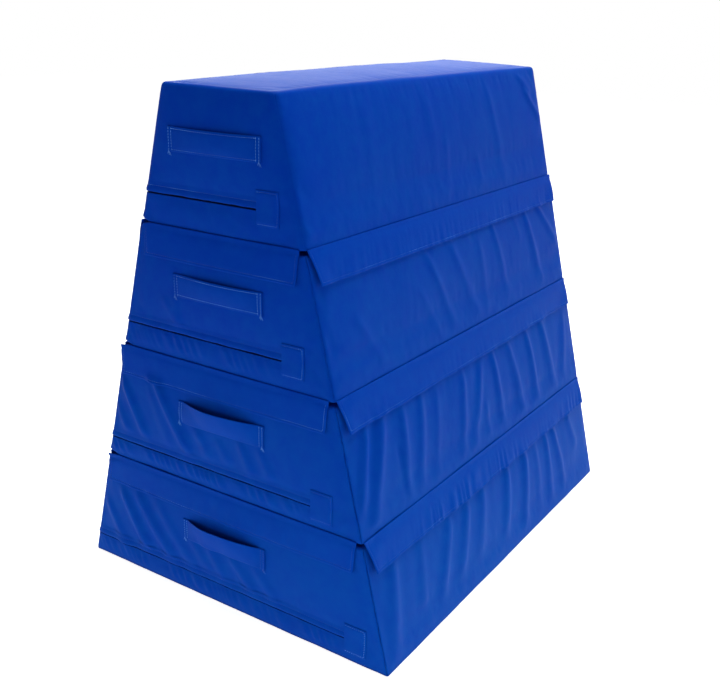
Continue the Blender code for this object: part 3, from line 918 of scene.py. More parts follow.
def lofted(stations: Sequence, profile: Sequence, place: Callable) -> BMesh:
    """A closed strip swept through stations.

    Args:
        stations: What the strip runs through.
        profile: Points of its closed outline.
        place: Gives the place of a profile point at a station.

    Returns:
        The strip, with its ends closed and its faces pointing outwards.
    """
    bm = bmesh.new()
    runs, rounds = len(stations) - 1, len(profile)
    bmesh.ops.create_grid(bm, x_segments=runs, y_segments=rounds, size=1.0)
    for vert in bm.verts:
        station = round((vert.co.x + 1) / 2 * runs)
        point = round((vert.co.y + 1) / 2 * rounds) % rounds
        vert.co = place(stations[station], profile[point])
    bmesh.ops.remove_doubles(bm, verts=bm.verts, dist=SAME_PLACE)
    rims = bmesh.ops.holes_fill(bm, edges=bm.edges, sides=0)["faces"]
    bmesh.ops.recalc_face_normals(bm, faces=bm.faces)
    bmesh.ops.triangulate(bm, faces=rims)
    return bm


def two_sided(rises: Sequence[float]) -> list[tuple[float, int]]:
    """The outline of a flat strip: each rise on its outer side, marked 1, and back on its inner side, marked 0."""
    return [(rise, 1) for rise in rises] + [(rise, 0) for rise in reversed(rises)]


def bisected(bm: BMesh, near: Callable[[Vector], bool], point: Vector, normal: Vector) -> list[BMVert]:
    """Cuts part of a mesh with a plane.

    Args:
        bm: The mesh.
        near: Whether a face with its centre there is cut.
        point: A point of the plane.
        normal: The way that the plane faces.

    Returns:
        The vertices on the cut.
    """
    faces = [f for f in bm.faces if near(f.calc_center_median())]
    edges = {e for f in faces for e in f.edges}
    verts = {v for f in faces for v in f.verts}
    geom = [*faces, *edges, *verts]
    cut = bmesh.ops.bisect_plane(bm, geom=geom, dist=1e-5, plane_co=point, plane_no=normal)["geom_cut"]
    return [v for v in cut if isinstance(v, BMVert)]


def wobble(*place: float) -> float:
    """Smooth noise from -1 to 1."""
    return noise.noise(Vector((*place, 0.0, 0.0, 0.0)[:3]))


def edge_inset(distance: float, radius: float) -> float:
    """How far a rounded edge has drawn in.

    Args:
        distance: Distance from the end of its side.
        radius: The edge's radius.

    Returns:
        The inset, 0 past the rounding.
    """
    if distance >= radius:
        return 0.0
    return radius - math.sqrt(max(0.0, radius * radius - (radius - distance) ** 2))


def stitch_groove(distance: float, deep: float, half: float) -> float:
    """How deep a line of stitches presses in, at a distance from it."""
    return deep * math.exp(-((distance / half) ** 2))


def edge_rim(distance: float, deep: float, width: float) -> float:
    """How much thinner a strip is, at a distance from its folded edge."""
    return deep * (1 - clamp(distance / width, 0.0, 1.0))


def run_length(points: Sequence[Vector]) -> float:
    """The length of a line through points."""
    return sum((b - a).length for a, b in zip(points, points[1:]))


class StitchRow:
    """Sewn thread: a row of short raised stitches along a line."""

    length = 0.0042
    pitch = 0.0056
    bury = 0.2

    def __init__(self, name: str, thick: float = 0.0009) -> None:
        """Makes the mesh that the rows are added to, and one stitch.

        Args:
            name: The piece's name.
            thick: The thread's thickness.
        """
        self.name = name
        self.thick = thick
        self.bm = bmesh.new()
        stitch = bmesh.new()
        bmesh.ops.create_uvsphere(stitch, u_segments=6, v_segments=4, radius=0.5)
        bmesh.ops.rotate(stitch, verts=stitch.verts, matrix=Matrix.Rotation(math.pi / 2, 3, "Y"))
        self.stitch = mesh_of("stitch", stitch)

    def one(self, middle: Vector, way: Vector, out: Vector, length: float) -> None:
        """Adds one stitch.

        Args:
            middle: A point on the surface under the stitch.
            way: The direction of the row.
            out: The way off the surface.
            length: The length of the stitch.
        """
        ahead = way.normalized()
        aside = out.cross(ahead).normalized()
        above = ahead.cross(aside)
        turn = Matrix((ahead, aside, above)).transposed().to_4x4()
        size = Matrix.Diagonal((length, self.thick, self.thick, 1.0))
        copy = self.stitch.copy()
        copy.transform(Matrix.Translation(middle + above * self.thick * self.bury) @ turn @ size)
        self.bm.from_mesh(copy)
        bpy.data.meshes.remove(copy)

    def line(self, points: Sequence[Vector], outs: Sequence[Vector] | Vector) -> None:
        """Adds stitches along a line.

        Args:
            points: The line, on the surface.
            outs: The way off the surface at each point, or one way for the whole line.
        """
        if isinstance(outs, Vector):
            outs = [outs] * len(points)
        lengths = [0.0]
        for here, there in zip(points, points[1:]):
            lengths.append(lengths[-1] + (there - here).length)
        count = max(1, int(lengths[-1] / self.pitch))
        for index in range(count):
            spot = (index + 0.5) * lengths[-1] / count
            after = next(i for i, reach in enumerate(lengths) if reach >= spot and i)
            share = (spot - lengths[after - 1]) / max(lengths[after] - lengths[after - 1], 1e-9)
            middle = points[after - 1].lerp(points[after], share)
            self.one(middle, points[after] - points[after - 1], outs[after - 1].lerp(outs[after], share), self.length)

    def finish(self, material: Material) -> Object:
        """Turns the rows into a piece of this finish."""
        bpy.data.meshes.remove(self.stitch)
        return new_piece(self.name, self.bm, material, 180.0)


# Covers and foam


@dataclass
class BlockForm:
    """The stuffed form of a block, `depth` inside its skin, as a grid on a box that is rounded and tapered."""

    section: Section
    depth: float
    pitch: float
    least_rounding: float = 0.001
    crest_reach: float = 0.05
    foot_reach: float = 0.03
    lift_reach: float = 0.034
    left_sink_reach: float = 0.060
    sink_reach: float = 0.078
    sink_fade: float = 0.050
    warp_starts: float = 0.2
    warp_fade: float = 0.1
    dip_reach: Pair = (1.6, 0.16)

    def side_lines(self, half: float, radius: float) -> list[float]:
        """Grid lines across a side: those of its rounded corners, and evenly spaced ones between them."""
        inner = [half, half - radius * (2 - math.sqrt(2)), half - radius]
        return filled(inner + [-value for value in inner], self.pitch)

    def build(self) -> BMesh:
        """Makes the grid and forms it.

        Returns:
            The closed form, in the frame of the part.
        """
        section, depth = self.section, self.depth
        radius = section.corner_radius - depth
        low, high = depth, section.height - depth
        foot, crest = max(self.least_rounding, section.foot_radius - depth), section.crest_radius - depth
        half_x, half_y = section.foot_half - depth, section.half_length - depth
        round_cut = 1 - math.sqrt(0.5)
        heights = [low, low + foot * round_cut, low + foot, high, high - crest * round_cut, high - crest]
        lines = self.side_lines(half_x, radius), self.side_lines(half_y, radius), filled(heights, self.pitch)
        bm = bmesh.new()
        bmesh.ops.create_cube(bm, size=1.0)
        for axis, places in enumerate(lines):
            edges = [e for e in bm.edges if abs(e.verts[0].co[axis] - e.verts[1].co[axis]) > 0.5]
            bmesh.ops.subdivide_edges(bm, edges=edges, cuts=len(places) - 2, use_grid_fill=True)
        for vert in bm.verts:
            place = [lines[axis][round((vert.co[axis] + 0.5) * (len(lines[axis]) - 1))] for axis in range(3)]
            inset = max(edge_inset(place[2] - low, foot), edge_inset(high - place[2], crest))
            crown = TOP_CROWN if section.is_top and high - place[2] < SAME_PLACE * 10 else 0.0
            vert.co = self.formed(Vector(place), inset, crown)
        return bm

    def formed(self, point: Vector, inset: float, crown: float) -> Vector:
        """Where a point of the plain box goes on the block's form.

        Args:
            point: The point of the box.
            inset: How far a rounded foot or crest edge draws it in.
            crown: How far the middle of this level rises.

        Returns:
            The formed point, in the frame of the part.
        """
        section, depth = self.section, self.depth
        radius = section.corner_radius - depth
        half = Vector((section.half_width(point.z) - depth, section.half_length - depth))
        box_core = section.foot_half - depth - radius
        if abs(point.x) > box_core:
            x = math.copysign(half.x - (section.foot_half - depth - abs(point.x)), point.x)
        else:
            x = point.x * (half.x - radius) / box_core
        core = corner_core(x, point.y, half, radius)
        offset = Vector((x, point.y)) - core
        reach = max(abs(offset.x), abs(offset.y))
        normal = offset.normalized()
        swell = abs(normal.x) * section.swell(point.y / half.y, point.z)
        swell += abs(normal.y) * section.swell(x / half.x, point.z)
        plan = core + normal * (reach * (radius - inset + swell) / radius)
        rise = crown * (1 - (plan.x / half.x) ** 2) * (1 - (plan.y / half.y) ** 2)
        rise += self.corner_droop(plan, half, point.z)
        if section.is_top:
            rise += self.top_warp(plan, half) * float(smooth((point.z - self.warp_starts) / self.warp_fade))
        return Vector((plan.x, plan.y, section.floor + point.z + rise))

    def top_warp(self, plan: Vector, half: Vector) -> float:
        """How far the top block's crest stands above its plane: high at the back left, low at the front right.

        Args:
            plan: Place in plan.
            half: Half the width and length at this height.

        Returns:
            The rise.
        """
        left, back = 0.5 - plan.x / half.x / 2, 0.5 + plan.y / half.y / 2
        near_front_right = float(smooth(1 - math.hypot(left / self.dip_reach[0], back / self.dip_reach[1])))
        return TOP_BACK_LEFT_RISE * left * back - TOP_FRONT_RIGHT_DIP * near_front_right

    def corner_droop(self, plan: Vector, half: Vector, up: float) -> float:
        """How far a corner of the crest sinks, and one of the foot is lifted, where the stuffing doesn't reach.

        Args:
            plan: Place in plan.
            half: Half the width and length at this height.
            up: Height above the foot.

        Returns:
            The rise, negative at the crest.
        """
        section = self.section
        gap = math.hypot(half.x - abs(plan.x), half.y - abs(plan.y))
        crest = float(smooth((up - section.height + self.crest_reach) / self.crest_reach))
        foot = float(smooth(1 - up / self.foot_reach))
        if plan.x < 0 and section.order:
            lifted = section.left_foot_lift * float(smooth(1 - gap / self.lift_reach)) * foot
            near = float(smooth((self.left_sink_reach - gap) / self.sink_fade))
            return lifted - 0.5 * section.crest_sink * near * crest
        near = float(smooth((self.sink_reach - gap) / self.sink_fade))
        return near * (section.foot_lift * foot - section.crest_sink * crest)


@dataclass
class Cover:
    """The vinyl cover of a block: swelled by a cloth simulation, folded, seamed at its corners and slit."""

    section: Section
    pitch: float = 0.0110
    pressure: float = 4.0
    frames: int = 20
    most_swell: float = 0.0035
    slit_above: float = 0.005
    slit_below: float = 0.0068
    slit_depth: float = 0.0037
    slit_stops: float = 0.060
    seam_half: float = 0.0019
    seam_reach: float = 2.2
    seam_stops: Pair = (0.003, 0.004)
    cut_reach: float = 0.03
    face_depth: float = 0.02
    lump: float = 0.0011
    small_lump: float = 0.0006
    back_slide: float = 12.0
    left_slide: float = -18.0
    gather_slant: float = 0.42
    gather_pitch: float = 0.0265

    def build(self, finishes: Finishes) -> None:
        """Builds the cover and the block's probe for the trim.

        Args:
            finishes: The finishes of the object.
        """
        section = self.section
        name = f"{section.name}_cover_form"
        form = placed(name, mesh_of(name, BlockForm(section, 0.0, self.pitch).build()))
        self.inflate(form)
        fine = self.subdivided(form)
        bpy.data.objects.remove(form)
        self.fold(fine)
        bm = bmesh.new()
        bm.from_mesh(fine)
        section.tree = BVHTree.FromBMesh(bm)
        self.cut_seams(bm)
        self.cut_slit(bm)
        cover = new_piece(f"{section.name}_vinyl_cover", bm, finishes.cover, 60.0)
        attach(cover, section.body)
        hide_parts(f"{section.name}_cover")

    def held(self, across_gap: np.ndarray, up: np.ndarray, level: np.ndarray) -> np.ndarray:
        """How firmly each point is held by seams, the zip, the flap and the blocks above and below.

        Args:
            across_gap: Distance to the nearest vertical corner.
            up: Height above the foot.
            level: 1 on the level faces and 0 on the upright ones.

        Returns:
            From 0, free, to 1, held.
        """
        section = self.section
        corner = 1 - smooth((across_gap - 0.004) / 0.030)
        foot = 1 - smooth((up - section.foot_radius) / 0.018)
        crest = smooth((up - section.height + section.crest_radius + 0.018) / 0.018)
        zip_seam = 1 - smooth((np.abs(up - section.zip_rise - 0.004) - 0.012) / 0.014)
        under_flap = 0.0 if section.is_top else smooth((up - section.height + FLAP_DROP + 0.004) / 0.024)
        free_top = 0.0 if section.is_top else 1.0
        resting = level * np.where(up > section.height / 2, free_top, 1.0)
        held = np.maximum.reduce([corner * 0.9, foot, crest * (1 - level), zip_seam * (1 - level) * 0.9])
        return np.clip(np.maximum(np.maximum(held, under_flap * 0.95), resting), 0.0, 1.0)

    def measured(self, mesh: Mesh) -> list[np.ndarray]:
        """Where each point of the cover is.

        Args:
            mesh: The cover's mesh.

        Returns:
            Places, normals, heights above the foot, distance to the nearest corner, and 1 for level faces.
        """
        count = len(mesh.vertices)
        places, normals = np.empty(count * 3), np.empty(count * 3)
        mesh.vertices.foreach_get("co", places)
        mesh.vertex_normals.foreach_get("vector", normals)
        places, normals = places.reshape(-1, 3), normals.reshape(-1, 3)
        up = places[:, 2] - self.section.floor
        half_x = self.section.foot_half - TAPER * up
        gap_x, gap_y = half_x - np.abs(places[:, 0]), self.section.half_length - np.abs(places[:, 1])
        gap = np.maximum(gap_x, gap_y)
        level = (np.abs(normals[:, 2]) > 0.8).astype(float)
        return [places, normals, up, gap, level]

    def inflate(self, form: Object) -> None:
        """Swells the form with Cloth under pressure, held along its seams, and caps how far a point may go.

        Args:
            form: The form, whose mesh is changed.
        """
        mesh = form.data
        before, _, up, gap, level = self.measured(mesh)
        rim_x = self.section.foot_half - TAPER * up - np.abs(before[:, 0])
        rim = 1 - smooth((np.minimum(rim_x, self.section.half_length - np.abs(before[:, 1])) - 0.006) / 0.030)
        held = np.maximum(self.held(gap, up, level), rim * level * 0.9)
        group = form.vertex_groups.new(name="held")
        for step in range(1, 11):
            members = np.nonzero(np.round(held * 10) == step)[0].tolist()
            if members:
                group.add(members, step / 10, "REPLACE")
        cloth = form.modifiers.new("Cloth", "CLOTH")
        settings = cloth.settings
        settings.quality = 4
        settings.mass = 0.3
        settings.tension_stiffness = settings.compression_stiffness = 15.0
        settings.shear_stiffness = 5.0
        settings.bending_stiffness = 0.4
        settings.use_pressure = True
        settings.uniform_pressure_force = self.pressure
        settings.effector_weights.gravity = 0.0
        settings.vertex_group_mass = group.name
        settings.pin_stiffness = 1.0
        settings.shrink_min = -0.012
        cloth.collision_settings.use_collision = False
        cloth.point_cache.frame_start, cloth.point_cache.frame_end = 1, self.frames
        scene = bpy.context.scene
        for number in range(1, self.frames + 1):
            scene.frame_set(number)
        evaluated = form.evaluated_get(bpy.context.evaluated_depsgraph_get())
        after = np.empty(len(mesh.vertices) * 3)
        evaluated.data.vertices.foreach_get("co", after)
        scene.frame_set(1)
        move = after.reshape(-1, 3) - before
        far = np.linalg.norm(move, axis=1, keepdims=True)
        LOG.info("%s cover swelled by up to %.1f mm", self.section.name, far.max() / MM)
        move *= self.most_swell / np.maximum(far + self.most_swell, 1e-9)
        form.modifiers.remove(cloth)
        mesh.vertices.foreach_set("co", (before + move).ravel())
        mesh.update()

    def subdivided(self, form: Object) -> Mesh:
        """The form's mesh, subdivided once.

        Args:
            form: The swelled form.

        Returns:
            A new mesh.
        """
        smoothing = form.modifiers.new("Subdivision", "SUBSURF")
        smoothing.levels = smoothing.render_levels = 1
        depsgraph = bpy.context.evaluated_depsgraph_get()
        return bpy.data.meshes.new_from_object(form.evaluated_get(depsgraph))

    def folds_on(self, face: Face) -> list[Fold]:
        """The folds of a face; the hidden faces have those of the opposite one, mirrored and slid.

        Args:
            face: The face.

        Returns:
            Its folds.
        """
        name = self.section.name
        if face is Face.FRONT:
            return [Fold(*row) for row in FRONT_FOLDS[name]]
        if face is Face.RIGHT:
            return [Fold(*row) for row in RIGHT_FOLDS[name]]
        shown, slide = (FRONT_FOLDS, self.back_slide) if face is Face.BACK else (RIGHT_FOLDS, self.left_slide)
        return [Fold(*row).mirrored(slide) for row in shown[name]]

    def fold(self, mesh: Mesh) -> None:
        """Raises the folds, the gathers below the zip and the soft unevenness of the stuffing.

        Args:
            mesh: The subdivided mesh, which is changed.
        """
        section = self.section
        places, normals, up, gap, level = self.measured(mesh)
        lift = np.zeros(len(places))
        free = 1 - smooth((section.height - FLAP_DROP + 0.004 - up) / -0.024) * (0.0 if section.is_top else 0.92)
        edges = smooth((gap - 0.002) / 0.022) * smooth((up - 0.006) / 0.022)
        edges *= smooth((section.height - 0.008 - up) / 0.02)
        for face in Face:
            out, way = face.outward, face.along
            facing = normals[:, 0] * out.x + normals[:, 1] * out.y
            on = facing > 0.7
            across = places[:, 0] * way.x + places[:, 1] * way.y
            raised = np.zeros(len(places))
            for fold in self.folds_on(face):
                raised += self.ridge(fold, across, up)
            raised *= section.end_folds if face.is_end else section.side_folds
            raised = (raised + self.streak(face, across, up)) * free * edges
            if face in (Face.FRONT, Face.LEFT):
                raised += self.gather(face, across, up) * edges
            lift += np.where(on, raised, 0.0)
        aside = Vector((3.1, 0.7, 5.2))
        soft = np.array(
            [
                self.lump * wobble(*(place * 7.0)) + self.small_lump * wobble(*(place * 19.0 + aside))
                for place in map(Vector, places)
            ]
        )
        by_zip = smooth((np.abs(up - section.zip_rise) - 0.012) / 0.016)
        lift += soft * np.where(level > 0, 0.35, free * smooth(gap / 0.03) * by_zip)
        if section.is_top:
            lift += np.where(
                up > section.height - 0.02,
                [self.lump * wobble(place.x * 4 + 9, place.y * 7, 2.0) for place in map(Vector, places)],
                0.0,
            )
        places += normals * lift[:, None]
        mesh.vertices.foreach_set("co", places.ravel())
        mesh.update()

    @staticmethod
    def ridge(fold: Fold, across: np.ndarray, up: np.ndarray) -> np.ndarray:
        """The height of a fold at each point.

        Args:
            fold: The fold.
            across: Places across the face.
            up: Places above the foot.

        Returns:
            Heights in metres.
        """
        start = np.array((fold.top_across, fold.top_up)) * MM
        reach = np.array((fold.low_across, fold.low_up)) * MM - start
        length = float(np.hypot(*reach))
        ahead = reach / length
        run = ((across - start[0]) * ahead[0] + (up - start[1]) * ahead[1]) / length
        aside = (across - start[0]) * ahead[1] - (up - start[1]) * ahead[0]
        width = fold.width * MM * (0.90 + 0.45 * np.clip(run, 0, 1))
        ends = smooth((run + 0.15) / 0.3) * smooth((1.12 - run) / 0.3)
        return fold.height * MM * ends * np.exp(-((aside / width) ** 2))

    def streak(self, face: Face, across: np.ndarray, up: np.ndarray) -> np.ndarray:
        """The faint bands that hang from the crest between the folds.

        Args:
            face: The face.
            across: Places across the face.
            up: Places above the foot.

        Returns:
            Heights in metres.
        """
        seed = self.section.order * 4.1 + face.value
        slant = 0.35 if face.is_end else -0.16
        bands = [wobble((x + slant * z) * 21.0, z * 2.5 + seed, seed) for x, z in zip(across, up)]
        return self.section.streaks * np.array(bands)

    def gather(self, face: Face, across: np.ndarray, up: np.ndarray) -> np.ndarray:
        """The slanted puckers of the strip below the zip.

        Args:
            face: The front or the left face.
            across: Places across the face.
            up: Places above the foot.

        Returns:
            Heights in metres.
        """
        section = self.section
        slanted = across + self.gather_slant * up
        turn = section.order * 1.7
        phase = slanted / self.gather_pitch + 0.85 * np.sin(slanted / 0.061 + turn)
        phase += 0.45 * np.sin(slanted / 0.023 + turn)
        fade = 0.74 + 0.26 * np.sin(slanted / 0.037 + 0.8 + turn) * np.sin(slanted / 0.11 + turn)
        strip = smooth((section.zip_rise - 0.006 - up) / 0.008) * smooth((up - 0.004) / 0.012)
        if face is Face.FRONT:
            strip *= smooth((section.garage_left - across) / 0.05)
        ridges = 0.5 + 0.5 * np.sin(2 * math.pi * phase)
        return section.gathers * MM * strip * fade * ridges

    def cut_seams(self, bm: BMesh) -> None:
        """Presses a narrow seam into each upright corner.

        Args:
            bm: The cover.
        """
        section, radius = self.section, self.section.corner_radius
        near = self.seam_reach * radius
        above_foot, below_crest = self.seam_stops
        for sign_x, sign_y in ((-1, -1), (-1, 1), (1, -1), (1, 1)):

            def by_corner(c: Vector) -> bool:
                """Whether a point is near this corner."""
                side = section.half_width(c.z - section.floor)
                return abs(c.y * sign_y - section.half_length) < near and abs(c.x * sign_x - side) < near

            foot_x, foot_y = section.foot_half - radius, section.half_length - radius
            foot = Vector((sign_x * foot_x, sign_y * foot_y, section.floor))
            rise = Vector((-sign_x * TAPER, 0.0, 1.0)).normalized()
            diagonal = Vector((sign_x, sign_y, 0.0)).normalized()
            normal = rise.cross(diagonal).normalized()
            shifts = (-self.seam_half, 0.0, self.seam_half)
            _, middle, _ = (bisected(bm, by_corner, foot + normal * shift, normal) for shift in shifts)
            for vert in middle:
                if vert.is_valid and above_foot < vert.co.z - section.floor < section.height - below_crest:
                    vert.co -= diagonal * section.seam_depth

    def cut_slit(self, bm: BMesh) -> None:
        """Sinks the channel that the zip lies in, from under the garage round the left corner to near the back.

        Args:
            bm: The cover.
        """
        section = self.section
        level = section.floor + section.zip_rise
        right, back = section.zip_right, section.half_length - self.slit_stops
        half_x, reach = section.half_width(section.zip_rise), self.cut_reach

        def on_band(c: Vector) -> bool:
            """Whether a point is at the slit's height."""
            return -self.slit_below < c.z - level < self.slit_above

        def in_slit(c: Vector) -> bool:
            """Whether a point is on the zip's run, on the front or the left."""
            front = c.y < self.face_depth - section.half_length and c.x < right
            return on_band(c) and (front or (c.x < self.face_depth - half_x and c.y < back))

        for shift in (-self.slit_below, self.slit_above):
            bisected(
                bm,
                lambda c: abs(c.z - level - shift) < self.face_depth
                and (c.x < right + reach or c.y > 0)
                and c.x < half_x - reach,
                Vector((0.0, 0.0, level + shift)),
                Vector((0.0, 0.0, 1.0)),
            )
        bisected(
            bm,
            lambda c: on_band(c) and c.y < 0 and abs(c.x - right) < reach,
            Vector((right, 0.0, level)),
            Vector((1.0, 0.0, 0.0)),
        )
        bisected(
            bm,
            lambda c: on_band(c) and c.x < 0 and abs(c.y - back) < reach,
            Vector((0.0, back, level)),
            Vector((0.0, 1.0, 0.0)),
        )
        run = [f for f in bm.faces if in_slit(f.calc_center_median())]
        made = bmesh.ops.extrude_face_region(bm, geom=run)["geom"]
        for vert in (v for v in made if isinstance(v, BMVert)):
            vert.co = section.plain_skin(vert.co.x, vert.co.y, vert.co.z - section.floor, -self.slit_depth)
        bmesh.ops.delete(bm, geom=[f for f in run if f.is_valid], context="FACES_ONLY")


@dataclass
class FoamCore:
    """The foam block inside a cover."""

    section: Section
    depth: float = 0.0042
    pitch: float = 0.030
    rough: float = 0.0004

    def build(self, finishes: Finishes) -> None:
        """Builds the foam block.

        Args:
            finishes: The finishes of the object.
        """
        section = self.section
        bm = BlockForm(section, self.depth, self.pitch).build()
        bm.normal_update()
        for vert in bm.verts:
            vert.co -= vert.normal * self.rough * (1 + wobble(*(vert.co * 30)))
        core = new_piece(f"{section.name}_foam_block", bm, finishes.foam, 40.0)
        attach(core, section.body)
        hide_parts(f"{section.name}_foam_core")


# Sewn trim


def declare_sheet(
    piece: Object,
    section: Section,
    node: str,
    flat: Pair,
    below: Section,
    thread: Object,
    body: str,
) -> None:
    """Makes a sewn piece and its thread ride, and hides the CAD part that it replaces.

    Args:
        piece: The sewn piece.
        section: The block that it is sewn to.
        node: The CAD node that it replaces, without the block's name.
        flat: The size of its cut; not used.
        below: The block whose cover it lies on; not used.
        thread: Its stitches.
        body: The body that it rides on.
    """
    for obj in (piece, thread):
        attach(obj, body)
    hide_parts(f"{section.name}_{node}")


@dataclass
class Hem:
    """The lip of the upper panel, folded and stitched, which hangs over the zip."""

    section: Section
    above: float = 0.021
    below: float = 0.0022
    lift: float = 0.0018
    thick: float = 0.0009
    stitch_up: float = 0.0120
    pitch: float = 0.008
    garage_gap: float = 0.0004
    stops: float = 0.030
    ragged: float = 0.0016
    frayed: float = 0.0009
    puff: float = 0.0005
    stiff: float = 0.006

    def build(self, finishes: Finishes) -> None:
        """Builds the hem with its stitching.

        Args:
            finishes: The finishes of the object.
        """
        section = self.section
        start, back = section.garage_left - self.garage_gap, section.half_length - self.stops
        stations = section.zip_line(start, back, self.pitch)
        outer = self.lift + self.thick
        profile = [
            (self.above, 0.0001),
            (self.above - 0.003, 0.0004),
            (self.stitch_up + 0.0035, 0.0007),
            (self.stitch_up + 0.0014, 0.0008),
            (self.stitch_up, 0.0007),
            (self.stitch_up - 0.0014, 0.0011),
            (self.stitch_up - 0.0055, outer),
            (0.002, outer + 0.0003),
            (-self.below + 0.001, outer + 0.0002),
            (-self.below, outer - 0.0005),
            (-self.below + 0.0005, self.lift),
            (self.stitch_up - 0.0068, self.lift),
            (self.stitch_up - 0.0020, 0.0003),
            (self.above - 0.005, 0.0001),
        ]

        def place(station: Pair, point: Pair) -> Vector:
            """Where a profile point lies, with the ragged lower edge.

            Args:
                station: The point of the zip line, in plan.
                point: Rise above the zip line and distance off the cover.

            Returns:
                The place.
            """
            rise, out = point
            run = station[0] * 9.0 + station[1] * 7.0 + section.order * 3.7
            share = clamp((0.004 - rise) / 0.009, 0.0, 1.0)
            ragged = share * (self.ragged * wobble(run * 4.0, 1.5) + self.frayed * wobble(run * 17.0, 4.0))
            past = smooth((0.016 - station[0] - section.half_width(section.zip_rise)) / 0.010)
            puff = share * self.puff * (1 + wobble(run * 9.0, 7.0)) - float(past) * 0.75 * min(out, self.lift)
            up = section.zip_rise + rise + ragged
            return section.skin(section.zip_outline(station[0], up), station[1], up, out + puff, self.stiff)

        hem = new_piece(f"{section.name}_hem", lofted(stations, profile, place), finishes.trim, 70.0)
        row = StitchRow(f"{section.name}_hem_thread", 0.0009 if section.is_top else 0.0005)
        points = [place(station, (self.stitch_up, 0.0007)) for station in stations]
        above = [place(station, (self.stitch_up, 0.0110)) for station in stations]
        row.line(points, [there - here for here, there in zip(points, above)])
        thread = row.finish(finishes.sunk_shade_thread if section.is_top else finishes.buried_shade_thread)
        flat = (self.above + self.below, run_length(points))
        declare_sheet(hem, section, "zip_hem", flat, section, thread, section.body)


@dataclass
class Garage:
    """The patch over the parked slider, sewn above, below and at the right, and open towards the zip."""

    section: Section
    height: float = 0.074
    margin: float = 0.010
    lift: float = 0.0017
    thick: float = 0.0012
    seam: float = 0.0042
    groove: float = 0.0005
    groove_half: float = 0.0012
    off_cover: float = 0.0005
    crumple: float = 0.0006
    stiff: float = 0.008

    width = 0.057
    park = 0.012

    def build(self, finishes: Finishes) -> None:
        """Builds the garage with its stitching.

        Args:
            finishes: The finishes of the object.
        """
        section = self.section
        half = self.height / 2
        rises = [-half, -half + 0.0012, -half + 0.003, -half + self.seam, -half + 0.0055, -half + self.margin]
        rises += [-half * 0.35, half * 0.35] + [-rise for rise in reversed(rises)]
        shares = [0.0, 0.02, 0.06, 0.15, 0.3, 0.5, 0.7, 0.82, 0.90, 0.926, 0.95, 0.98, 1.0]
        stations = [share * self.width for share in shares]
        profile = two_sided(rises)

        def place(across: float, point: tuple[float, int]) -> Vector:
            """Where a profile point lies, raised in the middle and pressed down along the seam.

            Args:
                across: Distance from the open side.
                point: Rise from the zip line, and the side.

            Returns:
                The place.
            """
            rise, is_outer = point
            to_edge = min(half - abs(rise), self.width - across)
            raised = self.lift * float(smooth(to_edge / self.margin))
            groove = stitch_groove(to_edge - self.seam, self.groove, self.groove_half)
            rim = edge_rim(to_edge, self.groove, self.groove_half)
            crumple = self.crumple * wobble(across * 45, rise * 30, section.order)
            out = self.off_cover + raised + abs(crumple * float(smooth(to_edge / self.margin)))
            if is_outer:
                out += self.thick - groove - rim
            place_x, up = section.garage_left + across, section.zip_rise + rise
            return section.on_face(Face.FRONT, place_x, up, out, self.stiff)

        garage = new_piece(f"{section.name}_garage", lofted(stations, profile, place), finishes.trim, 60.0)
        row = StitchRow(f"{section.name}_garage_thread")
        inner, low = self.width - self.seam, half - self.seam
        runs = [
            [(across, low) for across in spread(0.002, inner, 12)],
            [(inner, rise) for rise in spread(low, -low, 14)],
            [(across, -low) for across in spread(inner, 0.002, 12)],
        ]
        for run in runs:
            points = [place(across, (rise, 1)) for across, rise in run]
            row.line(points, Vector((0.0, -1.0, 0.0)))
        thread = row.finish(finishes.thread)
        flat = (self.width, self.height)
        declare_sheet(garage, section, "zip_garage", flat, section, thread, section.body)


